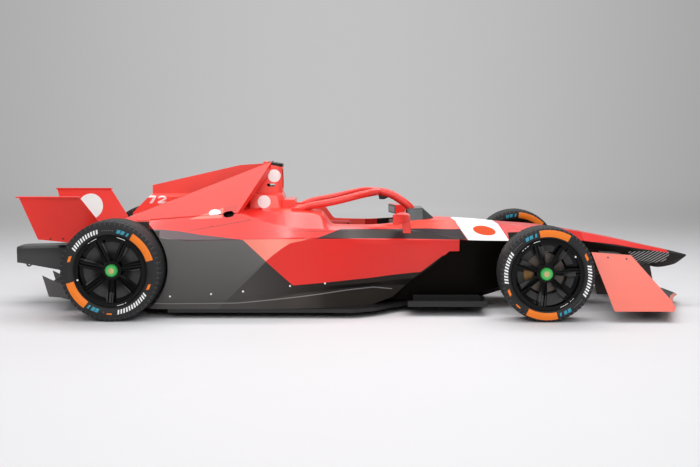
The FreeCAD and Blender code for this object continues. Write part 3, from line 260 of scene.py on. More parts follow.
# A brighter copy of the red for the halo and the mirrors, as painted light.
HALO_RED_LIT = rgb("F8352C")
LINING_RED = rgb("F0584C")
PAD_RED = rgb("B81E1C")
DISC_RED = rgb("DE4A12")
COAL = rgb("0C0C0D")
WHITE = rgb("FDFDFC")
ORANGE = rgb("FF8626")
STRIPE = rgb("342D33")
SHOULDER = rgb("54404A")
# A flat grey painted on the mirror glass in place of its reflection.
GLASS_REFLECTION_GREY = rgb("8A8E90")
RUBBER, WORN_RUBBER, DUST = rgb("212122"), rgb("3B3A3C"), rgb("5E5D61")
RIM_BLACK, RIM_DUSTY = rgb("020203"), rgb("0B0B0C")
NUT_GREEN, NUT_SHADE, NUT_GOLD = rgb("3CC458"), rgb("2E6A38"), rgb("C9BC86")
SMOKE, PALE_SMOKE = rgb("1A1C1D"), rgb("44494B")
WARM = (1.0, 0.80, 0.66, 1.0)  # the tint of the red lacquer's sheen
TOW = 0.004  # the width of one tow of the laminate
FACING = 20.0  # how sharply a mask by the way that a surface faces turns


def lacquer(s, color, bare, level, shine=0.9, bare_shine=0.12, specular=0.3):
    """Satin lacquer, and woven laminate at the given level where the bare mask is 1."""
    cloud = s.noise(2.2, 3.0)
    peel = s.noise(380.0, 2.0)
    tows = s.weave(TOW)
    painted = s.mix(s.scaled(cloud, 0.3, -0.12, clamp=True), color, BLACK)
    woven = s.times(level, s.spread(tows, 0.90, 1.06))
    s.set(color=s.mix(bare, painted, s.grey(woven)),
          rough=s.scaled(s.noise(9.0, 4.0), 0.12, s.blend(bare, 0.30, 0.38)),
          coat=s.blend(bare, shine, bare_shine), coat_rough=0.24, specular=specular, tint=WARM)
    s.bump(s.scaled(tows, s.times(bare, 0.4), peel), 0.05, 0.0006)
    return s.material


# Borders of the side's colours as (x, z): the foot of the red from the tail to the cell, the top of the
# dark strip along it at the rear, and the foot of the pale facet, which is a painted highlight.
RED_FOOT = [(-1.66, 0.575), (-1.40, 0.562), (-1.346, 0.562), (-1.283, 0.556), (-1.215, 0.542),
            (-1.146, 0.533), (-1.049, 0.535), (-0.951, 0.538), (-0.757, 0.540), (-0.412, 0.225),
            (0.126, 0.255), (0.282, 0.269), (0.493, 0.284), (0.648, 0.399), (0.684, 0.405), (0.80, 0.413)]
STRIP_TOP = [(-1.66, 0.612), (-1.345, 0.608), (-1.203, 0.596), (-1.060, 0.575), (-0.918, 0.561),
             (-0.770, 0.543)]
STRIP_FRONT = -0.760
HIGHLIGHT_FOOT = [(-0.66, 0.345), (-0.587, 0.405), (-0.542, 0.446), (-0.494, 0.481), (-0.432, 0.517),
             (-0.322, 0.539)]
HIGHLIGHT_ENDS, HIGHLIGHT_TOP = (-0.78, -0.322), 0.545
# The pod's black rear end as (z, x), and its height.
POD_END = [(0.10, -1.400), (0.20, -1.335), (0.45, -1.325), (0.60, -1.345)]
POD_END_TOP = 0.60
# The dark band on the shoulder: its foot as (x, z), its inner edge as (x, y), its ends as (x, z, slope).
STRIPE_FOOT = [(-0.26, 0.546), (0.835, 0.511)]
STRIPE_TOP = [(-0.159, 0.440), (-0.053, 0.406), (0.343, 0.338), (0.748, 0.248), (0.80, 0.236)]
STRIPE_ENDS = ((-0.256, 0.548, 3.6), (0.832, 0.511, -0.69))
# A painted highlight line along the skirt's crease, as (x, z).
SKIRT_CREASE_HIGHLIGHT = [(-1.41, 0.104), (-1.263, 0.102), (-0.799, 0.107), (-0.377, 0.144), (-0.044, 0.175),
                (0.151, 0.185), (0.285, 0.167)]
COVER_SEAM = [(-1.133, 0.601), (-1.030, 0.618), (-0.892, 0.641), (-0.719, 0.670)]
POD_SEAM = [(-0.644, 0.592), (-0.367, 0.592), (-0.158, 0.586)]
# The facet of bare laminate that lies in shade towards the front.
SHADE_FACET = [(-0.903, 0.093), (-0.998, 0.0), (0.9, 0.0), (0.9, 0.6), (-0.384, 0.6)]


def stripe_mask(s):
    """The dark band between the pod's side and the cell: over a line, outside another, between two ends."""
    above = s.more(s.z, s.line(STRIPE_FOOT))
    outer = s.more(s.aside, s.line(STRIPE_TOP))
    ends = []
    for x, z, slope in STRIPE_ENDS:
        ends.append(s.scaled(s.minus(s.z, z), slope, x))
    return s.both(above, outer, s.between(s.x, *ends))


# By the hot air outlet, as (x, z): a pale facet of painted highlight and a dark facet of painted shade, and
# the outlet's middle and radii.
LIT_FACET = [(-1.154, 0.673), (-0.918, 0.684), (-0.914, 0.750)]
SHADED_FACET = [(-0.908, 0.726), (-0.826, 0.726), (-0.813, 0.769), (-0.908, 0.756)]
OUTLET, OUTLET_RADII = (-0.882, 0.700), (0.062, 0.046)


# Paints the pale facet by the outlet as a highlight.
def lit_facet_color(s, color):
    return s.mix(s.times(s.polygon(LIT_FACET), 0.6), color, FACET_HIGHLIGHT_RED)


def outlet_mask(s):
    """The walls and floor of the outlet's recess, where the bare laminate is painted near black as shade."""
    return s.both(s.oval(s.x, s.z, OUTLET, OUTLET_RADII), s.less(s.normal_z, 0.3, FACING))


def pod_material():
    """Red and a dark stripe over laminate, which is graded from facet to facet with painted light and shade,
    and a painted highlight along the skirt's crease.
    """
    s = Shader("paint_sidepod")
    bare = s.less(s.z, s.line(RED_FOOT))
    strip = s.both(s.outside(bare), s.less(s.z, s.line(STRIP_TOP)), s.less(s.x, STRIP_FRONT))
    # The pale facet is a painted highlight where the side turns up to the light.
    pale = s.both(s.more(s.z, s.line(HIGHLIGHT_FOOT)), s.less(s.z, HIGHLIGHT_TOP), s.between(s.x, *HIGHLIGHT_ENDS))
    stripe = stripe_mask(s)
    color = lit_facet_color(s, s.mix(pale, RED, PALE_RED_HIGHLIGHT))
    color = s.mix(stripe, color, darker(STRIPE, 0.6))
    color = s.mix(strip, color, SHOULDER)
    seam = s.any_of(s.seam(COVER_SEAM, 0.0035), s.seam(POD_SEAM, 0.0025))
    color = s.mix(s.times(seam, 0.75), color, COAL)
    fade = s.scaled(s.x, -0.10, -0.022)
    # The bare laminate is painted lighter higher up, as light on its upturned faces, and darker over the
    # facet in shade.
    level = s.blend(s.polygon(SHADE_FACET), s.scaled(s.z, 0.15, 0.052),
                    s.math("MINIMUM", s.math("MAXIMUM", fade, 0.007), 0.05))
    # A painted highlight along the skirt's crease.
    level = s.math("MAXIMUM", level, s.times(s.seam(SKIRT_CREASE_HIGHLIGHT, 0.006), 0.22))
    end = s.less(s.x, s.line(POD_END, s.z))
    shaded_recess = outlet_mask(s)
    bare = s.any_of(bare, shaded_recess, s.both(end, s.less(s.z, POD_END_TOP)))
    # The outlet's recess is painted near black, as shade.
    level = s.blend(shaded_recess, s.blend(end, level, 0.006), 0.001)
    return lacquer(s, color, bare, level, shine=s.blend(stripe, 0.8, 0.12))


# The foot of the cell's paint as (x, z), and the edges of its white band as (y, x).
CELL_FOOT = [(-0.60, 0.480), (0.774, 0.480), (0.775, 0.511), (0.849, 0.507), (1.135, 0.499), (1.137, 0.552),
             (1.294, 0.553), (1.521, 0.510), (1.669, 0.492), (1.70, 0.489)]
BAND_REAR = [(0.0, 0.735), (0.182, 0.761), (0.333, 0.835)]
BAND_FRONT = [(0.0, 1.052), (0.133, 1.068), (0.30, 1.138)]
BAND_DISC, BAND_DISC_RADII = (0.964, 0.229), (0.083, 0.045)
# The cockpit's lining: its foot, and where it turns dark red, turns black and ends.
LINING_FOOT = 0.55
LINING_DARK, LINING_BLACK, LINING_FRONT = 0.095, 0.188, 0.36
CELL_TOP_FRONT = 0.95
NOSE_JOINT = (1.4985, 1.5015)


def cell_material():
    """Red with the stripe, a white band and its disc; the keel is bare and the cockpit lined. The red is
    painted lighter on upward faces and darker on the sides, as light and shade.
    """
    s = Shader("paint_cell")
    bare = s.less(s.z, s.line(CELL_FOOT))
    band = s.both(s.between(s.x, s.line(BAND_REAR, s.aside), s.line(BAND_FRONT, s.aside)), s.outside(bare))
    disc = s.both(s.oval(s.x, s.aside, BAND_DISC, BAND_DISC_RADII), band)
    stripe = stripe_mask(s)
    inner = s.both(s.less(s.outward(), -0.4, FACING), s.more(s.z, LINING_FOOT), s.less(s.x, LINING_FRONT))
    # Upward faces get the lighter red, as painted light.
    top = s.both(s.more(s.normal_z, 0.5, 8.0), s.less(s.x, CELL_TOP_FRONT))
    dark = s.mix(s.more(s.x, LINING_BLACK), PAD_RED, COAL)
    lining = s.mix(s.more(s.x, LINING_DARK), LINING_RED, dark)
    color = s.mix(inner, s.mix(top, CELL_SIDE_SHADED, CELL_TOP_LIT), lining)
    color = s.mix(stripe, color, STRIPE)
    color = s.mix(band, color, WHITE)
    color = s.mix(disc, color, DISC_RED)
    joint = s.both(s.between(s.x, *NOSE_JOINT), s.outside(bare))
    color = s.mix(s.times(joint, 0.7), color, COAL)
    return lacquer(s, color, bare, 0.001, shine=s.blend(s.any_of(band, stripe), 0.6, 0.06), bare_shine=0.0,
                   specular=0.08)


# The nose: the foot of the red as (x, z), the slanted edge of the black tip, and the field of pale bars.
NOSE_FOOT = [(1.66, 0.492), (1.827, 0.471), (1.959, 0.452), (2.087, 0.428), (2.218, 0.407), (2.316, 0.391),
             (2.36, 0.384)]
TIP_SLOPE, TIP_REACH = 0.55, 2.575
BAR_FIELD = [(2.15, 0.290), (2.34, 0.322), (2.372, 0.372), (2.36, 0.400), (2.04, 0.400)]
BAR_PITCH, BAR_WIDE, BAR_RISE = 0.0172, 0.0062, math.radians(28.0)
KEEL_GREY_START = 2.10


def nose_material():
    s = Shader("paint_nose")
    tip = s.more(s.scaled(s.z, TIP_SLOPE, s.x), TIP_REACH)
    bare = s.any_of(s.less(s.z, s.line(NOSE_FOOT)), tip)
    across = s.scaled(s.x, -math.sin(BAR_RISE), s.times(s.z, math.cos(BAR_RISE)))
    bars = s.math("LESS_THAN", s.math("FLOORED_MODULO", across, BAR_PITCH), BAR_WIDE)
    keel = s.blend(s.more(s.x, KEEL_GREY_START, 12.0), 0.001, 0.024)
    level = s.scaled(s.both(bars, s.polygon(BAR_FIELD)), 0.42, keel)
    return lacquer(s, RED, bare, level, bare_shine=0.0, specular=0.2)


# The engine cover as (x, z): the foot and ends of the hoop's black cap, the top of the bare well, the
# outline and half width of the duct, and two plain discs.
CAP_FOOT, CAP_ENDS = [(-0.63, 1.046), (-0.50, 1.020)], (-0.628, -0.48)
WELL_TOP = 0.655
DUCT, DUCT_HALF = [(-0.640, 0.82), (-0.535, 0.82), (-0.535, 1.02), (-0.640, 1.02)], 0.066
HOOP_DISCS, HOOP_DISC = ((-0.580, 0.960), (-0.651, 0.772)), (0.047, 0.047)


def cover_material():
    s = Shader("paint_cover")
    cap = s.both(s.more(s.z, s.line(CAP_FOOT)), s.between(s.x, *CAP_ENDS))
    well = s.less(s.z, WELL_TOP)
    duct = s.both(s.polygon(DUCT), s.less(s.aside, DUCT_HALF))
    plain = s.any_of(*[s.oval(s.x, s.z, middle, HOOP_DISC) for middle in HOOP_DISCS])
    plain = s.both(plain, s.more(s.math("ABSOLUTE", s.normal_y), 0.5, FACING))
    # The cover's red is a brighter copy of the body's red, as painted light.
    color = s.mix(s.any_of(plain, number_mask(s)), COVER_RED_LIT, WHITE)
    return lacquer(s, color, s.any_of(cap, well, duct), 0.010)


# The plain number on the fin: its middle and foot, the size of a figure and of the gap, and its reach aside.
NUMBER_X, NUMBER_Z, FIGURE_WIDE, FIGURE_TALL, FIGURE_GAP = -1.462, 0.752, 0.066, 0.056, 0.013
NUMBER_ASIDE = 0.075


def number_mask(s):
    """A seven and a two that read the right way round from each side."""
    away = s.times(s.math("SIGN", s.y), -1.0)
    u = s.times(s.minus(s.x, NUMBER_X), away)
    v = s.minus(s.z, NUMBER_Z)
    wide, tall = FIGURE_WIDE, FIGURE_TALL
    bold = tall * 0.25
    left = -wide - FIGURE_GAP / 2
    right = FIGURE_GAP / 2

    def block(u0, v0, v1):
        return s.polygon([(u0, v0), (u0 + wide, v0), (u0 + wide, v1), (u0, v1)], u, v)

    seven = s.any_of(
        block(left, tall - bold, tall),
        s.polygon([(left + wide * 0.24, 0.0), (left + wide * 0.58, 0.0), (left + wide, tall - bold),
                   (left + wide * 0.66, tall - bold)], u, v))
    middle = (right + wide / 2, tall * 0.67)
    bowl = s.both(s.oval(u, v, middle, (wide / 2, tall * 0.34)),
                  s.outside(s.oval(u, v, middle, (wide * 0.20, tall * 0.12))),
                  s.any_of(s.more(v, middle[1]), s.both(s.more(u, middle[0]), s.more(v, tall * 0.5))))
    slope = s.polygon([(right, bold), (right + wide * 0.46, bold), (right + wide * 0.98, tall * 0.56),
                       (right + wide * 0.60, tall * 0.56)], u, v)
    return s.both(s.any_of(seven, bowl, slope, block(right, 0.0, bold)), s.less(s.aside, NUMBER_ASIDE))


def red_material(name, color):
    return lacquer(Shader(name), color, 0.0, 0.0)


FOOT_MARK, FOOT_MARK_RADII = (-0.972, 0.716), (0.042, 0.024)


def foot_material():
    """The buttress, with a plain oval mark at its foot, a pale and a dark facet painted as highlight and
    shade, and its outlet painted near black as shade.
    """
    s = Shader("paint_buttress")
    mark = s.oval(s.x, s.z, FOOT_MARK, FOOT_MARK_RADII)
    color = s.mix(s.polygon(SHADED_FACET), lit_facet_color(s, FOOT_RED), FOOT_PAINTED_SHADE)
    return lacquer(s, s.mix(mark, color, WHITE), outlet_mask(s), 0.002, shine=0.6, bare_shine=0.0)


PANEL_DISC, PANEL_DISC_RADII = (-2.085, 0.690), (0.100, 0.100)


def panel_material():
    """The rear wing's panels, with a plain disc on their inner faces, in a red painted brighter as light."""
    s = Shader("paint_panel")
    inner = s.less(s.outward(), 0.0, FACING)
    disc = s.both(inner, s.oval(s.x, s.z, PANEL_DISC, PANEL_DISC_RADII))
    return lacquer(s, s.mix(disc, PANEL_RED_LIT, WHITE), 0.0, 0.0, shine=0.4, specular=0.2)


GLASS_Z, GLASS_ASIDE = (0.651, 0.695), (0.386, 0.512)


def mirror_material():
    """A red housing whose rear face is grey glass in a black frame; the grey is a painted reflection, flat in
    place of what the mirror shows.
    """
    s = Shader("paint_mirror")
    rear = s.less(s.normal_x, -0.6, FACING)
    glass = s.both(s.between(s.z, *GLASS_Z), s.between(s.aside, *GLASS_ASIDE))
    color = s.mix(rear, HALO_RED_LIT, s.mix(glass, COAL, GLASS_REFLECTION_GREY))
    return lacquer(s, color, 0.0, 0.0)


# The front wing's lead line as (y, x), and how wide the red lip on it is.
LEAD_LINE = [(0.0, 2.455), (0.28, 2.3425), (0.842, 2.171)]
LIP_WIDE = 0.024


def wing_material():
    """The front wing's laminate with a narrow red lip along its lead line, painted pale as a highlight."""
    s = Shader("carbon_wing")
    bare = s.less(s.x, s.minus(s.line(LEAD_LINE, s.aside), LIP_WIDE))
    return lacquer(s, PLATE_RED_HIGHLIGHT, bare, s.spread(s.noise(14.0), 0.026, 0.038))


def laminate(s, tows, level, rough):
    """Satin woven laminate of a grey level."""
    s.set(color=s.grey(level), rough=s.spread(s.noise(30.0), rough, rough + 0.14), coat=0.25, coat_rough=0.2,
          specular=0.35)
    s.bump(tows, 0.12, 0.0003)
    return s.material


def carbon_material(name, level=0.020, rough=0.31):
    s = Shader(name)
    tows = s.weave(TOW)
    base = s.spread(s.noise(14.0), level * 0.75, level * 1.25)
    return laminate(s, tows, s.scaled(tows, level * 0.5, base), rough)


# The rear crash box: its level by height, and how much of it is left by x, where painted shade darkens it
# beside the wheels.
TAIL_LEVELS = [(0.27, 0.050), (0.305, 0.058), (0.36, 0.054), (0.41, 0.036)]
TAIL_WHEEL_SHADE = [(-2.50, 1.0), (-2.20, 1.0), (-2.10, 0.5), (-1.5, 0.4)]


def tail_material():
    """The rear crash box: grey laminate, darker along the top, and darker beside the wheels as painted shade.
    """
    s = Shader("carbon_tail")
    tows = s.weave(TOW)
    level = s.times(s.line(TAIL_LEVELS, s.z), s.line(TAIL_WHEEL_SHADE))
    return laminate(s, tows, s.times(level, s.spread(tows, 0.9, 1.1)), 0.35)


BLOCKS = 60  # tread blocks round a tyre
DUSTY_TURN = (0.70, 0.86)  # where dust lies in each block's turn
DUSTY_DOWN = 0.024  # how far below the crown it reaches
DUSTY_SHARE = 0.66  # and from which share of the half width


def rubber_material(axle):
    """Black rubber; dust lies in the tread's cross grooves and along their edges."""
    s = Shader("rubber_" + axle)
    low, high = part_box("tyre_" + axle + "_right")
    radius = (high.z - low.z) / 2
    dust = s.noise(9.0, 5.0)
    out, turn = s.polar(HUB["spin_" + axle + "_right"])
    turn = s.math("FLOORED_MODULO", s.times(turn, BLOCKS), 1.0)
    off = s.math("ABSOLUTE", s.minus(s.aside, abs(low.y + high.y) / 2))
    groove = s.both(s.between(turn, *DUSTY_TURN, 12.0), s.more(out, radius - DUSTY_DOWN, 300.0),
                    s.more(off, (high.y - low.y) / 2 * DUSTY_SHARE, 300.0))
    rubber = s.mix(s.times(dust, 0.5), RUBBER, WORN_RUBBER)
    s.set(color=s.mix(s.times(groove, 0.55), rubber, DUST), rough=s.spread(dust, 0.50, 0.66), specular=0.28)
    s.bump(s.noise(900.0, 2.0), 0.25, 0.0004)
    return s.material


def mark_material(name, color):
    """Moulded in or printed colour with a little wear."""
    s = Shader(name)
    wear = s.noise(160.0, 4.0, 0.7)
    s.set(color=s.mix(s.scaled(wear, 1.6, -0.75, clamp=True), color, darker(color, 0.7)),
          rough=s.spread(wear, 0.35, 0.55), specular=0.3)
    s.bump(wear, 0.06, 0.0003)
    return s.material


def metal_material(name, color, rough, scale=60.0):
    s = Shader(name)
    grain = s.noise(scale, 4.0)
    s.set(color=s.mix(s.times(grain, 0.35), color, darker(color, 0.6)), metal=1.0,
          rough=s.spread(grain, rough - 0.08, rough + 0.14))
    s.bump(grain, 0.08, 0.0004)
    return s.material


def gloss_material(name, color, rough, coat):
    s = Shader(name)
    dust = s.noise(22.0, 4.0)
    s.set(color=s.mix(s.times(dust, 0.4), color, darker(color, 1.8)),
          rough=s.spread(dust, rough, rough + 0.12), coat=coat, coat_rough=0.08, specular=0.4)
    s.bump(s.noise(500.0, 2.0), 0.03, 0.0004)
    return s.material


SPOKES = 7
SPOKE_START = 0.25  # how far below forward one spoke points, as a share of a whole turn
SPOKE_HALF = 0.026  # half the width of a spoke's two ribs
DISH_RADII = (0.078, 0.196)
# The dish is painted darker toward the hub, as shade in its recess.
DISH_SHADE_LEVELS = [(0.08, 0.12), (0.115, 0.20), (0.15, 1.0), (0.19, 1.15)]  # how light the dish is by radius


def rim_material(axle):
    """Near black gloss spokes over a dark grey dish, painted darker toward the hub as shade in its recess."""
    s = Shader("rim_" + axle)
    dust = s.noise(22.0, 4.0)
    out, turn = s.polar(HUB["spin_" + axle + "_right"])
    turn = s.scaled(turn, SPOKES, SPOKES * SPOKE_START + 0.5)
    off = s.math("ABSOLUTE", s.minus(s.math("FLOORED_MODULO", turn, 1.0), 0.5))
    off = s.times(s.times(off, 2 * math.pi / SPOKES), out)
    dish = s.both(s.more(off, SPOKE_HALF, 900.0), s.between(out, *DISH_RADII, 600.0))
    level = s.times(s.line(DISH_SHADE_LEVELS, out), s.spread(dust, 0.045, 0.065))
    s.set(color=s.mix(dish, s.mix(dust, RIM_BLACK, RIM_DUSTY), s.grey(level)),
          rough=s.scaled(dust, 0.10, s.blend(dish, 0.12, 0.42)), coat=s.blend(dish, 0.16, 0.0),
          coat_rough=0.06, specular=0.09)
    s.bump(s.noise(500.0, 2.0), 0.03, 0.0004)
    return s.material


NUT_MIDDLE = (0.0215, 0.0215)


def nut_material():
    """A green anodised nut with a plain gold middle."""
    s = Shader("wheel_nut")
    grain = s.noise(90.0, 4.0)
    hubs = [HUB["spin_" + axle + "_right"] for axle in AXLES]
    inside = s.any_of(*[s.oval(s.x, s.z, (hub.x, hub.z), NUT_MIDDLE) for hub in hubs])
    color = s.mix(inside, NUT_GREEN, NUT_GOLD)
    s.set(color=s.mix(s.times(grain, 0.25), color, NUT_SHADE), metal=0.1,
          rough=s.spread(grain, 0.26, 0.46), coat=0.3, coat_rough=0.15)
    s.bump(grain, 0.08, 0.0004)
    return s.material


THREADS = 3200.0  # how fast the pad's threads turn, in radians a metre


def cloth_material(name, color):
    s = Shader(name)
    u = s.math("SINE", s.times(s.x, THREADS))
    v = s.math("SINE", s.times(s.math("ADD", s.y, s.z), THREADS))
    thread = s.times(u, v)
    s.set(color=s.mix(s.scaled(thread, 0.25, 0.3), color, darker(color, 0.6)),
          rough=s.scaled(thread, 0.05, 0.72), sheen=0.3)
    s.bump(thread, 0.3, 0.0005)
    return s.material


SCREEN_RIM, SCREEN_REAR = 0.010, 0.016


def screen_material():
    """A smoked screen with a black border along its top and rear."""
    s = Shader("smoked_screen")
    low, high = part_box("windscreen")
    haze = s.noise(12.0)
    inner = s.both(s.less(s.z, high.z - SCREEN_RIM, 400.0), s.more(s.x, low.x + SCREEN_REAR, 400.0))
    s.set(color=s.mix(inner, COAL, s.mix(haze, SMOKE, PALE_SMOKE)), rough=s.spread(haze, 0.16, 0.26),
          coat=0.5, coat_rough=0.08, specular=0.4)
    s.bump(haze, 0.02, 0.001)
    return s.material


MAT = {
    "halo": red_material("paint_halo", HALO_RED_LIT),
    "plate": red_material("paint_plate", PLATE_RED_HIGHLIGHT),
    "pod": pod_material(),
    "foot": foot_material(),
    "cell": cell_material(),
    "nose": nose_material(),
    "cover": cover_material(),
    "panel": panel_material(),
    "mirror": mirror_material(),
    "wing": wing_material(),
    "carbon": carbon_material("carbon"),
    "carbon_dark": carbon_material("carbon_dark", 0.006, 0.38),
    "carbon_pale": carbon_material("carbon_pale", 0.075, 0.38),
    "tail": tail_material(),
    "rubber_front": rubber_material("front"),
    "rubber_rear": rubber_material("rear"),
    "white": mark_material("mark_white", WHITE),
    "orange": mark_material("mark_orange", ORANGE),
    "cyan": mark_material("mark_cyan", rgb("3A9FB8")),
    "grey": mark_material("mark_grey", rgb("6E6E71")),
    "rim_front": rim_material("front"),
    "rim_rear": rim_material("rear"),
    "nut": nut_material(),
    "black": gloss_material("trim_black", rgb("101011"), 0.4, 0.2),
    "gold": metal_material("cap_gold", rgb("D9C98E"), 0.4),
    "caliper": metal_material("caliper", rgb("8A6A45"), 0.42),
    "disc": metal_material("disc_iron", rgb("6A625C"), 0.4, 200.0),
    "case": metal_material("case", rgb("5E6063"), 0.45),
    "pad": cloth_material("pad_cloth", PAD_RED),
    "screen": screen_material(),
}
PAIRS = {"sidepod": "pod", "buttress": "foot", "mirror": "mirror", "endplate": "plate", "rear_wing": "panel",
         "track_rod": "carbon", "front_suspension": "carbon", "rear_suspension": "carbon",
         "knuckle": "caliper", "brake_disc_front": "disc", "rim_front": "rim_front", "rim_rear": "rim_rear",
         "wheel_nut_front": "nut", "wheel_nut_rear": "nut"}
SINGLES = {"monocoque": "cell", "nose_cone": "nose", "engine_cover": "cover", "halo": "halo",
           "windscreen": "screen", "seat": "black", "steering_wheel": "black", "front_wing": "wing",
           "floor": "carbon_dark", "diffuser": "carbon_pale", "beam_wing": "carbon", "tail_structure": "tail",
           "battery": "case", "drive_unit": "case"}


def finish_node(name, material):
    mesh = nodes[name].data
    mesh.materials.clear()
    mesh.materials.append(MAT[material])


for _node, _material in SINGLES.items():
    finish_node(_node, _material)
for _node, _material in PAIRS.items():
    for _side, _ in SIDES:
        finish_node(_node + "_" + _side, _material)


# Meshes

def new_piece(name, verts, faces, material, body, sharp=40.0):
    mesh = bpy.data.meshes.new(name)
    mesh.from_pydata([tuple(v) for v in verts], [], faces)
    mesh.validate()
    mesh.materials.append(MAT[material])
    mesh.polygons.foreach_set("use_smooth", [True] * len(mesh.polygons))
    mesh.set_sharp_from_angle(angle=math.radians(sharp))
    piece = bpy.data.objects.new(name, mesh)
    bpy.context.scene.collection.objects.link(piece)
    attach(piece, body)
    return piece


def grid_faces(rows, columns, closed=False):
    """Quads over a grid of rows by columns; closed joins the last row to the first."""
    faces = []
    for i in range(rows if closed else rows - 1):
        here = i * columns
        there = ((i + 1) % rows) * columns
        for j in range(columns - 1):
            faces.append((here + j, here + j + 1, there + j + 1, there + j))
    return faces


def ring_faces(rings, sides, over=False):
    """Quads between rings that each close on themselves; over turns them to face the other way."""
    faces = []
    for i in range(rings - 1):
        here, there = i * sides, (i + 1) * sides
        for k in range(sides):
            n = (k + 1) % sides
            if over:
                faces.append((here + k, there + k, there + n, here + n))
            else:
                faces.append((here + k, here + n, there + n, there + k))
    return faces


def circle(sides):
    """The points round a circle of radius 1."""
    turns = [2 * math.pi * k / sides for k in range(sides)]
    return [(math.cos(a), math.sin(a)) for a in turns]


def join(parts):
    verts, faces = [], []
    for part_verts, part_faces in parts:
        offset = len(verts)
        verts += part_verts
        faces += [tuple(i + offset for i in face) for face in part_faces]
    return verts, faces


def turned(faces, over):
    return [face[::-1] for face in faces] if over else faces


def surface(name):
    """A ray target made of one of the car's nodes."""
    mesh = nodes[name].data
    faces = [tuple(face.vertices) for face in mesh.polygons]
    return BVHTree.FromPolygons([v.co.copy() for v in mesh.vertices], faces)


STUD_RINGS = ((1.0, -0.2), (1.0, 0.6), (0.8, 1.0), (0.42, 1.0), (0.36, 0.5))  # shares of radius and height
STUD_SIDES = 12


def stud(tree, start, ray, radius, tall):
    """A low round head standing on the surface that a ray meets, with a dimple in it."""
    hit, normal, _, _ = tree.ray_cast(Vector(start), Vector(ray))
    if normal.dot(Vector(ray)) > 0:
        normal = -normal
    across = normal.orthogonal().normalized()
    along = normal.cross(across)
    verts = []
    for share, height in STUD_RINGS:
        for u, v in circle(STUD_SIDES):
            verts.append(hit + (across * u + along * v) * radius * share + normal * tall * height)
    verts.append(hit + normal * tall * STUD_RINGS[-1][1])
    faces = ring_faces(len(STUD_RINGS), STUD_SIDES)
    last = (len(STUD_RINGS) - 1) * STUD_SIDES
    faces += [(last + k, last + (k + 1) % STUD_SIDES, len(verts) - 1) for k in range(STUD_SIDES)]
    return verts, faces


# Tyres and wheels

TREAD_DEEP = 0.0050
BLOCK_SHARES = ((0.0, 0), (0.40, 0), (0.80, 0), (0.84, 1), (0.97, 1))  # turn in a block, and cut or not
GROOVES = (0.30, 0.64)  # the grooves round the tread, as shares of the half width
GROOVE_WIDE = 0.0045
GROOVE_FLOOR_SHARE = 0.8
SHOULDER_SHARES = (0.70, 0.80, 0.88, 0.93)  # of the half width; the last is where the crown ends
DROP_SHARE = 0.055  # how far the crown falls to the shoulder, of the section's height
TURN_SHARES = ((0.965, 0.07), (0.984, 0.14))  # the shoulder's turn: of the half width, and of the height
BULGE_SHARE, BULGE_WIDE = 0.52, 0.998  # the height of the widest place, and its share of the half width
WALL_STEPS = 9
RIDGE_STEPS = (2, 7)
RIDGE = 0.0009  # the fine ridges round the sidewall
MARK_LIFT = 0.0005
BEAD_IN = 0.0138  # how far the bead lies inside the rim's face
SEAT_DEEP = 0.0142
FLANGE_GAP = 0.0004
SKIN = 0.0010  # what the dressed tyre stays inside its plain one


def tyre_profile(half, radius, seat, flange, bead):
    """(y, r, shoulder weight) from the inner bead over the tread to the outer bead."""
    section = radius - seat
    shoulder = half * SHOULDER_SHARES[-1]
    drop = section * DROP_SHARE

    def crown(share):
        return radius - drop * (abs(share) * half / shoulder) ** 2.4

    outer = []
    for share in GROOVES:
        y = half * share
        top, bottom = crown(share), crown(share) - TREAD_DEEP
        floor = GROOVE_WIDE * GROOVE_FLOOR_SHARE
        outer += [(y - GROOVE_WIDE, top, 0), (y - floor, bottom, 0), (y + floor, bottom, 0),
                  (y + GROOVE_WIDE, top, 0)]
    for share in SHOULDER_SHARES:
        outer.append((half * share, crown(share), 1))
    edge = crown(SHOULDER_SHARES[-1])
    (wide, fall), (widest, lowest) = TURN_SHARES
    top = edge - section * lowest
    outer += [(half * wide, edge - section * fall, 0.8), (half * widest, top, 0)]
    bulge = seat + section * BULGE_SHARE
    for k in range(1, WALL_STEPS):
        r = top + (flange - top) * k / WALL_STEPS
        if r > bulge:
            down = (top - r) / (top - bulge) * math.pi / 2
            y = half * (widest + (BULGE_WIDE - widest) * math.sin(down))
        else:
            down = (bulge - r) / (bulge - flange) * math.pi / 2
            y = bead + (half * BULGE_WIDE - bead) * math.cos(down) ** 0.8
        outer.append((y + (RIDGE if k in RIDGE_STEPS else 0.0), r, 0))
    outer += [(bead, flange, 0), (bead, seat, 0)]
    return [(-y, r, w) for y, r, w in reversed(outer)] + [(0, radius, 0)] + outer


def sidewall(profile):
    """The outer sidewall as (r, y) with rising radius."""
    return sorted((r, y) for y, r, _ in profile if y > 0)


def wall_at(wall, r):
    for (r0, y0), (r1, y1) in zip(wall, wall[1:]):
        if r0 <= r <= r1 and r1 > r0:
            return y0 + (y1 - y0) * (r - r0) / (r1 - r0)
    return wall[-1][1]


def wheel_point(centre, out, angle, r, y):
    """A point of a wheel: the angle runs from forward over the top."""
    a = math.radians(angle)
    return (centre.x + r * math.cos(a), centre.y + out * y, centre.z + r * math.sin(a))


def arc_patch(centre, out, a0, a1, rows, slant=0.0):
    """A thin skin on a wheel between two angles, over rows of (r, y)."""
    steps = max(2, int((a1 - a0) / 2))
    low, high = rows[0][0], rows[-1][0]
    verts = []
    for i in range(steps + 1):
        for r, y in rows:
            angle = a0 + (a1 - a0) * i / steps + slant * (r - low) / (high - low)
            verts.append(wheel_point(centre, out, angle, r, y))
    return verts, turned(grid_faces(steps + 1, len(rows)), out > 0)


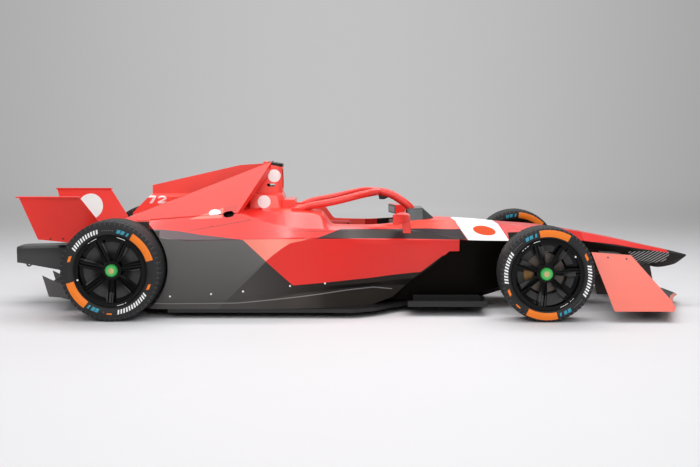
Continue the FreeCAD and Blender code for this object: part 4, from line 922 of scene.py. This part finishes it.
def make_tyre(axle, corner, sign):
    node = "tyre_" + corner
    centre = HUB["spin_" + corner]
    low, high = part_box(node)
    half = (high.y - low.y) / 2 - SKIN
    radius = (high.z - low.z) / 2
    rim_low, rim_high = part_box("rim_" + corner)
    flange = (rim_high.z - rim_low.z) / 2 + FLANGE_GAP
    profile = tyre_profile(half, radius, flange - SEAT_DEEP, flange, (rim_high.y - rim_low.y) / 2 - BEAD_IN)
    verts = []
    for k in range(BLOCKS):
        for share, cut in BLOCK_SHARES:
            for y, r, weight in profile:
                deep = TREAD_DEEP * weight * cut
                verts.append(wheel_point(centre, sign, (k + share) * 360 / BLOCKS, r - deep, y))
    faces = turned(grid_faces(BLOCKS * len(BLOCK_SHARES), len(profile), closed=True), sign > 0)
    piece = new_piece(node + "_tread", verts, faces, "rubber_" + axle, "wheel_" + corner, sharp=28.0)
    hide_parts(node)
    return sidewall(profile), centre


# Marks on a wheel by axle: the angles of each row, seen from the car's right, the sidewall's radii in
# metres, and the angle and radius of the valve.
MARKS = {
    "front": {"radii": (0.2600, 0.3080), "orange": ((57.6, 99.4), (238.6, 280.8)),
              "cyan": ((104.0, 122.0), (285.0, 303.0)), "white": ((146.0, 192.0), (328.0, 374.0)),
              "tabs": ((196.5, 205.0), (17.0, 26.0)), "faint": ((126.0, 143.0), (306.0, 325.0)),
              "bar": (220.0, 227.5), "valve": (34.0, 0.222),
              "lip": ((104.0, 115.0), (124.0, 127.0), (129.0, 132.0), (134.0, 137.0), (292.0, 306.0),
                      (310.0, 313.0), (315.0, 318.0))},
    "rear": {"radii": (0.2560, 0.3080), "orange": ((15.5, 57.7), (195.4, 233.8)),
             "cyan": ((62.7, 80.4), (238.0, 255.0)), "white": ((106.0, 153.5), (281.0, 330.5)),
             "tabs": ((157.0, 165.5), (333.5, 341.5)), "faint": ((84.0, 101.0), (260.0, 265.0)),
             "bar": (265.0, 272.0), "valve": (195.0, 0.229),
             "lip": ((111.0, 122.0), (124.0, 127.0), (63.0, 77.0), (281.0, 292.0), (294.0, 297.0))},
}
# How far each tyre stands turned from its axle's marks, in degrees.
MARK_TURN = {"front_right": 3.0, "front_left": -12.0, "rear_right": 0.0, "rear_left": 0.0}
MARK_SHARE = 0.28  # half a row's height, as a share of the marked height
BAR_TURN, BAR_STEP, BAR_SLANT = 2.3, 4.1, -1.6  # degrees of one plain white bar, to the next, and of lean
DOT_TURN, DOT_STEP, DOT_HALF = 1.1, 2.8, 0.003  # the same of one faint dot, and half its height
CYAN_SHARES, CYAN_SLANT = (0.45, 0.80, 0.80), -1.2  # how much of each third of the row is filled
TAB_SLANT = 2.0
SMALL_BAR = (0.003, 0.012)  # the small bar's radii past the row's middle


def make_marks(axle, corner, wall, centre):
    """Plain moulded colour on both sidewalls: arcs, rows of slanted bars, tabs and faint dots."""
    marks = MARKS[axle]
    low, high = marks["radii"]
    middle, tall = (low + high) / 2, (high - low) * MARK_SHARE
    foot, top = middle - tall, middle + tall
    turn = MARK_TURN[corner]
    parts = {"orange": [], "white": [], "cyan": [], "grey": []}

    def patch(color, out, a0, a1, r0, r1, slant=0.0):
        radii = [r0] + [r for r, _ in wall if r0 + 0.001 < r < r1 - 0.001] + [r1]
        rows = [(r, wall_at(wall, r) + MARK_LIFT) for r in radii]
        parts[color].append(arc_patch(centre, out, a0 + turn, a1 + turn, rows, slant))

    for out in (1, -1):
        for a0, a1 in marks["orange"]:
            patch("orange", out, a0, a1, low, high)
        for a0, a1 in marks["cyan"]:
            third = (a1 - a0) / 3
            for k, wide in enumerate(CYAN_SHARES):
                start = a0 + third * k
                patch("cyan", out, start, start + third * wide, foot, middle + tall * 0.8, CYAN_SLANT)
        for a0, a1 in marks["white"]:
            for k in range(int((a1 - a0) / BAR_STEP)):
                start = a0 + k * BAR_STEP
                patch("white", out, start, start + BAR_TURN, foot, top, BAR_SLANT)
        for a0, a1 in marks["tabs"]:
            patch("orange", out, a0, a1, middle - tall * 0.5, middle + tall * 0.7, TAB_SLANT)
        for a0, a1 in marks["faint"]:
            for k in range(int((a1 - a0) / DOT_STEP)):
                start = a0 + k * DOT_STEP
                patch("grey", out, start, start + DOT_TURN, middle - DOT_HALF, middle + DOT_HALF)
        patch("orange", out, *marks["bar"], *[middle + up for up in SMALL_BAR])
    for color, patches in parts.items():
        verts, faces = join(patches)
        new_piece("tyre_mark_" + color + "_" + corner, verts, faces, color, "wheel_" + corner)


LIP_BAND = (0.0062, 0.0030)  # how far the dashes' edges lie inside the rim's lip
LIP_LIFT = 0.0003
VALVE_RADIUS, VALVE_TALL = 0.0065, 0.008
RAY_START = 0.4  # where the ray to the valve's foot starts, outside the wheel


def make_lip_marks(axle, corner, sign, centre):
    """Short pale dashes on the rim's lip and a valve cap behind it."""
    marks = MARKS[axle]
    low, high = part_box("rim_" + corner)
    face = (high.y - low.y) / 2
    lip = (high.z - low.z) / 2
    rows = [(lip - inside, face + LIP_LIFT) for inside in LIP_BAND]
    verts, faces = join([arc_patch(centre, sign, a0, a1, rows) for a0, a1 in marks["lip"]])
    body = "wheel_" + corner
    new_piece("rim_marks_" + corner, verts, faces, "white", body)
    angle, r = marks["valve"]
    start = wheel_point(centre, sign, angle, r, RAY_START)
    verts, faces = stud(surface("rim_" + corner), start, (0, -sign, 0), VALVE_RADIUS, VALVE_TALL)
    new_piece("valve_" + corner, verts, faces, "white", body, sharp=30.0)


def disc_verts(rings, sides, centre, sign, face):
    """Rings of (radius, y past the face) round a wheel's axis."""
    verts = []
    for r, y in rings:
        for u, v in circle(sides):
            verts.append((centre.x + r * u, sign * (face + y), centre.z + r * v))
    return verts


CAP_RINGS = ((0.0200, -0.016), (0.0200, -0.004), (0.0188, -0.0012), (0.0110, 0.0), (0.0100, -0.0016),
             (0.0, -0.0016))
CAP_SIDES = 32
CAP_IN = 0.0015


def make_nut_cap(corner, sign, centre):
    """A plain domed cap in the middle of the wheel nut, just inside its face."""
    low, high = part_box("wheel_nut_" + corner)
    face = max(abs(low.y), abs(high.y)) - CAP_IN
    verts = disc_verts(CAP_RINGS, CAP_SIDES, centre, sign, face)
    new_piece("nut_cap_" + corner, verts, turned(ring_faces(len(CAP_RINGS), CAP_SIDES), sign < 0),
              "gold", "wheel_" + corner, sharp=30.0)


SHIELD_RINGS = ((0.142, 0.0), (0.172, -0.002), (0.202, -0.002), (0.212, -0.006))
SHIELD_SIDES = 64
SHIELD_FACE = 0.666  # from the centre plane to the shield, at rest


def make_brake_shield(side, sign, centre):
    """The dark backing behind a front brake disc, which steers with the knuckle."""
    verts = disc_verts(SHIELD_RINGS, SHIELD_SIDES, centre, sign, SHIELD_FACE)
    faces = turned(ring_faces(len(SHIELD_RINGS), SHIELD_SIDES), sign > 0)
    piece = new_piece("brake_shield_" + side, verts, faces, "black", "knuckle_" + side)
    thick = piece.modifiers.new("thick", "SOLIDIFY")
    thick.thickness = 0.003
    thick.offset = 0.0


# Rows of screw heads: a name, the node that carries them, their places as (x, z), the radius and height
# of a head, its material and its slot.
STUD_ROWS = (
    # The pod's screw heads are machined metal, painted plain white as a painted glint.
    ("pod_screws", "sidepod_", ((-1.263, 0.153), (-0.978, 0.170), (-0.756, 0.188), (-0.432, 0.222),
                                (-0.191, 0.231)), 0.0068, 0.0025, "white", "machined_metal"),
    ("cover_screws", "sidepod_", ((-0.985, 0.631), (-0.719, 0.672)), 0.0042, 0.0014, "black", "carbon"),
    ("plate_bolts", "endplate_", ((1.779, 0.418), (1.907, 0.409)), 0.0060, 0.0026, "black", "carbon"),
    ("panel_bolts", "rear_wing_", ((-2.166, 0.522), (-2.076, 0.523)), 0.0060, 0.0026, "black", "carbon"),
)
BESIDE = 1.6  # a place beside the car, from which rays meet its side


def make_studs():
    for name, node, places, radius, tall, material, slot in STUD_ROWS:
        for side, sign in SIDES:
            tree = surface(node + side)
            heads = [stud(tree, (x, sign * BESIDE, z), (0, -sign, 0), radius, tall) for x, z in places]
            verts, faces = join(heads)
            new_piece(name + "_" + side, verts, faces, material, "root", sharp=30.0)


# The wedge under the ring: a place below the ring, the wedge's side view as (x, z) from where a ray up
# from there meets it, and its slices as (y, share of the side view).
CAMERA_FOOT = (0.225, 0.0, 0.70)
CAMERA_SECTION = ((-0.030, 0.004), (0.034, 0.004), (0.040, -0.010), (0.012, -0.024), (-0.026, -0.022))
CAMERA_ROOT = 0.010  # the height above that place that the slices shrink toward
CAMERA_SLICES = ((-0.016, 0.75), (-0.013, 1.0), (0.013, 1.0), (0.016, 0.75))


def make_camera_pod():
    """A small black wedge under the front of the ring over the cockpit."""
    hit, _, _, _ = surface("halo").ray_cast(Vector(CAMERA_FOOT), Vector((0, 0, 1)))
    count = len(CAMERA_SECTION)
    verts = []
    for y, share in CAMERA_SLICES:
        for x, z in CAMERA_SECTION:
            verts.append((hit.x + x * share, y, hit.z + (z - CAMERA_ROOT) * share + CAMERA_ROOT))
    last = (len(CAMERA_SLICES) - 1) * count
    faces = [tuple(range(count)), tuple(reversed(range(last, last + count)))]
    faces += ring_faces(len(CAMERA_SLICES), count, over=True)
    new_piece("halo_camera", verts, faces, "black", "root", sharp=30.0)


# One mirror's housing as (inner x, outer x, inner, outer, low, top), from the glass to the front, and
# its strut as (z, rear, front, inner, outer).
MIRROR_HEAD = ((0.334, 0.283, 0.364, 0.530, 0.638, 0.708), (0.352, 0.306, 0.360, 0.532, 0.634, 0.712),
               (0.385, 0.350, 0.366, 0.516, 0.642, 0.710), (0.408, 0.388, 0.380, 0.478, 0.652, 0.702),
               (0.416, 0.408, 0.396, 0.446, 0.664, 0.690))
MIRROR_STRUT = ((0.566, 0.358, 0.417, 0.412, 0.426), (0.610, 0.360, 0.417, 0.414, 0.430),
                (0.640, 0.352, 0.414, 0.412, 0.438), (0.668, 0.350, 0.404, 0.408, 0.442))


def make_mirror(side, sign):
    """A swept housing with the glass turned in to the driver, on a blade strut."""
    node = "mirror_" + side
    head = []
    for inner_x, outer_x, inner, outer, low, top in MIRROR_HEAD:
        head += [(inner_x, sign * inner, low), (outer_x, sign * outer, low),
                 (outer_x, sign * outer, top), (inner_x, sign * inner, top)]
    strut = []
    for z, rear, front, inner, outer in MIRROR_STRUT:
        strut += [(rear, sign * inner, z), (front, sign * inner, z), (front, sign * outer, z),
                  (rear, sign * outer, z)]
    parts = []
    for verts in (head, strut):
        faces = [(0, 1, 2, 3), tuple(reversed(range(len(verts) - 4, len(verts))))]
        faces += ring_faces(len(verts) // 4, 4, over=True)
        parts.append((verts, turned(faces, (sign > 0) == (verts is head))))
    verts, faces = join(parts)
    piece = new_piece(node + "_housing", verts, faces, "mirror", "root", sharp=35.0)
    soften = piece.modifiers.new("soften", "BEVEL")
    soften.width = 0.004
    soften.segments = 3
    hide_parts(node)


make_studs()
make_camera_pod()
for _side, _sign in SIDES:
    for _axle in AXLES:
        _corner = _axle + "_" + _side
        _wall, _centre = make_tyre(_axle, _corner, _sign)
        make_marks(_axle, _corner, _wall, _centre)
        make_lip_marks(_axle, _corner, _sign, _centre)
        make_nut_cap(_corner, _sign, _centre)
    make_brake_shield(_side, _sign, HUB["spin_front_" + _side])
    make_mirror(_side, _sign)


# The padded head rest

PAD_FRAMES = 20
PAD_CAP = 0.008  # how far the cloth may swell
PAD_CLEAR = 0.001  # what it stays inside its box


def settle(piece):
    """Keep what the modifiers make as the piece's own mesh."""
    view = bpy.context.evaluated_depsgraph_get()
    done = bpy.data.meshes.new_from_object(piece.evaluated_get(view))
    piece.modifiers.clear()
    piece.data = done


def blow_up(piece, low, high):
    """Swell the piece as cloth under pressure, within the cap and the box."""
    start = [v.co.copy() for v in piece.data.vertices]
    cloth = piece.modifiers.new("cloth", "CLOTH")
    cloth.settings.use_pressure = True
    cloth.settings.uniform_pressure_force = 4.0
    cloth.settings.effector_weights.gravity = 0.0
    cloth.settings.quality = 5
    for step in range(1, PAD_FRAMES + 1):
        bpy.context.scene.frame_set(step)
    settle(piece)
    bpy.context.scene.frame_set(1)
    for vertex, before in zip(piece.data.vertices, start):
        move = vertex.co - before
        if move.length > PAD_CAP:
            vertex.co = before + move.normalized() * PAD_CAP
        for axis in range(3):
            vertex.co[axis] = min(max(vertex.co[axis], low[axis] + PAD_CLEAR), high[axis] - PAD_CLEAR)


def make_head_rest():
    """The pad's own shape, shrunk a little and blown up as cloth inside its skin."""
    mesh = nodes["head_rest"].data.copy()
    mesh.materials.clear()
    mesh.materials.append(MAT["pad"])
    piece = bpy.data.objects.new("head_rest_pad", mesh)
    bpy.context.scene.collection.objects.link(piece)
    shrink = piece.modifiers.new("shrink", "DISPLACE")
    shrink.strength = -0.004
    shrink.mid_level = 0.0
    skin = piece.modifiers.new("skin", "REMESH")
    skin.mode = "VOXEL"
    skin.voxel_size = 0.006
    skin.use_smooth_shade = True
    relax = piece.modifiers.new("relax", "SMOOTH")
    relax.iterations = 4
    settle(piece)
    blow_up(piece, *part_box("head_rest"))
    piece.data.polygons.foreach_set("use_smooth", [True] * len(piece.data.polygons))
    round_off = piece.modifiers.new("round_off", "SUBSURF")
    round_off.levels = round_off.render_levels = 1
    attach(piece, "root")
    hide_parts("head_rest")


make_head_rest()


# Stage, light and camera

FLOOR_RADII = (1.5, 3, 5, 8, 11, 14.0)
WALL_TURN, WALL_TALL = 4.0, 12.0  # the radius of the turn up into the wall, and its top
TURN_STEPS = 8
AROUND = 96
FLOOR_PAPER, FLOOR_DUST = rgb("E6E5E7"), (0.4, 0.4, 0.4, 1)
PAPER_TINT = (1.0, 0.995, 1.0, 1)
# The backdrop's grey: its level, and what its corners, its front end and the floor near the car add; these
# are painted light and shade, darker at the corners and the front end and a painted pool of light near the
# car.
PAPER_LEVEL, CORNER_SHADE_ADDS, FRONT_SHADE_ADDS, NEAR_LIGHT_ADDS = 0.545, -0.22, -0.04, 0.34
NEAR_START, NEAR_FADE = 3.0, 3.6
# Beyond this radius the floor glows with the paper's grey, which carries painted light and shade.
GLOW_START, GLOW_FADE = 4.6, 4.0  # the floor turns to the paper's own grey from this radius on, over this way


def ring_sheet(name, rings, closed):
    """A sheet turned round the upright axis from (radius, height) rings, closed in the middle or not."""
    verts = [(r * u, r * v, z) for r, z in rings for u, v in circle(AROUND)]
    faces = ring_faces(len(rings), AROUND, over=True)
    if closed:
        faces.append(tuple(range(AROUND)))
    mesh = bpy.data.meshes.new(name)
    mesh.from_pydata(verts, [], faces)
    sheet = bpy.data.objects.new(name, mesh)
    bpy.context.scene.collection.objects.link(sheet)
    return sheet


def backdrop_level(s):
    """The grey of the paper with painted light and shade: lighter behind the middle of the car and near it,
    darker toward its corners, and the way out from it.
    """
    r = s.math("SQRT", s.scaled(s.x, s.x, s.times(s.y, s.y)))
    r = s.math("MAXIMUM", r, 0.5)
    corner = s.times(s.times(s.aside, s.math("ABSOLUTE", s.x)), 2.0)
    corner = s.math("DIVIDE", corner, s.times(r, r))
    level = s.scaled(s.times(corner, corner), CORNER_SHADE_ADDS, PAPER_LEVEL)
    level = s.scaled(s.math("DIVIDE", s.x, r), FRONT_SHADE_ADDS, level)
    near = s.math("DIVIDE", s.minus(r, NEAR_START), NEAR_FADE)
    near = s.math("POWER", 2.718, s.times(s.times(near, near), -1.0))
    return s.scaled(near, NEAR_LIGHT_ADDS, level), r


def add_glow(s, level, factor):
    """Show the paper's painted grey, with its painted light and shade, as a glow where rays from the camera,
    glossy or clear surfaces meet it.
    """
    tree = s.tree
    path = tree.nodes.new("ShaderNodeLightPath")
    seen = s.any_of(path.outputs["Is Camera Ray"], path.outputs["Is Glossy Ray"],
                    path.outputs["Is Transmission Ray"])
    glow = tree.nodes.new("ShaderNodeEmission")
    tree.links.new(s.mix(level, BLACK, PAPER_TINT), glow.inputs[0])
    choose = tree.nodes.new("ShaderNodeMixShader")
    s.link(s.times(factor, seen), choose.inputs[0])
    tree.links.new(s.bsdf.outputs[0], choose.inputs[1])
    tree.links.new(glow.outputs[0], choose.inputs[2])
    tree.links.new(choose.outputs[0], tree.nodes["Material Output"].inputs[0])


def make_stage():
    """A round pale floor that turns up into the backdrop."""
    floor = ring_sheet("floor_sheet", [(r, 0.0) for r in FLOOR_RADII], True)
    s = Shader("floor_paper")
    level, r = backdrop_level(s)
    color = s.mix(s.times(s.noise(3.0), 0.03), FLOOR_PAPER, FLOOR_DUST)
    s.set(color=color, rough=0.6, specular=0.2)
    far = s.math("MAXIMUM", s.math("DIVIDE", s.minus(r, GLOW_START), GLOW_FADE), 0.0)
    add_glow(s, level, s.math("SMOOTH_MIN", far, 1.0, 0.2))
    floor.data.materials.append(s.material)

    reach = FLOOR_RADII[-1]
    turns = [math.pi / 2 * k / TURN_STEPS for k in range(TURN_STEPS + 1)]
    rings = [(reach + WALL_TURN * math.sin(t), WALL_TURN * (1 - math.cos(t))) for t in turns]
    wall = ring_sheet("backdrop", rings + [(reach + WALL_TURN, WALL_TALL)], False)
    s = Shader("backdrop_paper")
    level, _ = backdrop_level(s)
    add_glow(s, level, 1.0)
    wall.data.materials.append(s.material)
    wall.visible_shadow = False
    wall.visible_diffuse = False


# Soft boxes: a name, a place, what it points at, its size and its power in watts.
LAMPS = (
    ("top_box", (0.0, -1.2, 5.5), (0.0, -1.2, 0.0), (9.0, 6.0), 320.0),
    ("key_box", (0.0, 2.2, 6.0), (0.0, -0.3, 0.0), (10.0, 0.6), 150.0),
    ("front_box", (0.3, -8.8, 4.4), (0.0, 0.0, 0.5), (9.0, 3.4), 300.0),
    ("back_box", (0.0, 7.5, 5.0), (0.0, 0.0, 0.4), (8.0, 2.5), 70.0),
)


def make_light(name, place, target, size, power):
    light = bpy.data.lights.new(name, "AREA")
    light.shape = "RECTANGLE"
    light.size, light.size_y = size
    light.energy = power
    lamp = bpy.data.objects.new(name, light)
    lamp.location = place
    lamp.visible_camera = False
    lamp.rotation_mode = "QUATERNION"
    lamp.rotation_quaternion = (Vector(target) - Vector(place)).to_track_quat("-Z", "Y")
    bpy.context.scene.collection.objects.link(lamp)


def make_world():
    world = bpy.data.worlds.new("studio")
    bpy.context.scene.world = world
    world.use_nodes = True
    sky = world.node_tree.nodes["Background"]
    sky.inputs[0].default_value = (0.86, 0.87, 0.88, 1)
    sky.inputs[1].default_value = 0.22


CAMERA_PLACE = (0.0352, -8.0645, 1.3504)
CAMERA_DOWN, CAMERA_TURN = 0.1025, 0.0068  # radians below level, and to the left of straight across


def make_camera():
    camera = bpy.data.cameras.new("camera")
    camera.lens = 55.35
    camera.sensor_width = 36.0
    camera.clip_end = 200.0
    holder = bpy.data.objects.new("camera", camera)
    holder.location = CAMERA_PLACE
    holder.rotation_euler = (math.pi / 2 - CAMERA_DOWN, 0.0, CAMERA_TURN)
    bpy.context.scene.collection.objects.link(holder)
    bpy.context.scene.camera = holder


make_stage()
for _lamp in LAMPS:
    make_light(*_lamp)
make_camera()
make_world()
bpy.context.scene.view_settings.view_transform = "Standard"

bpy.context.view_layer.update()
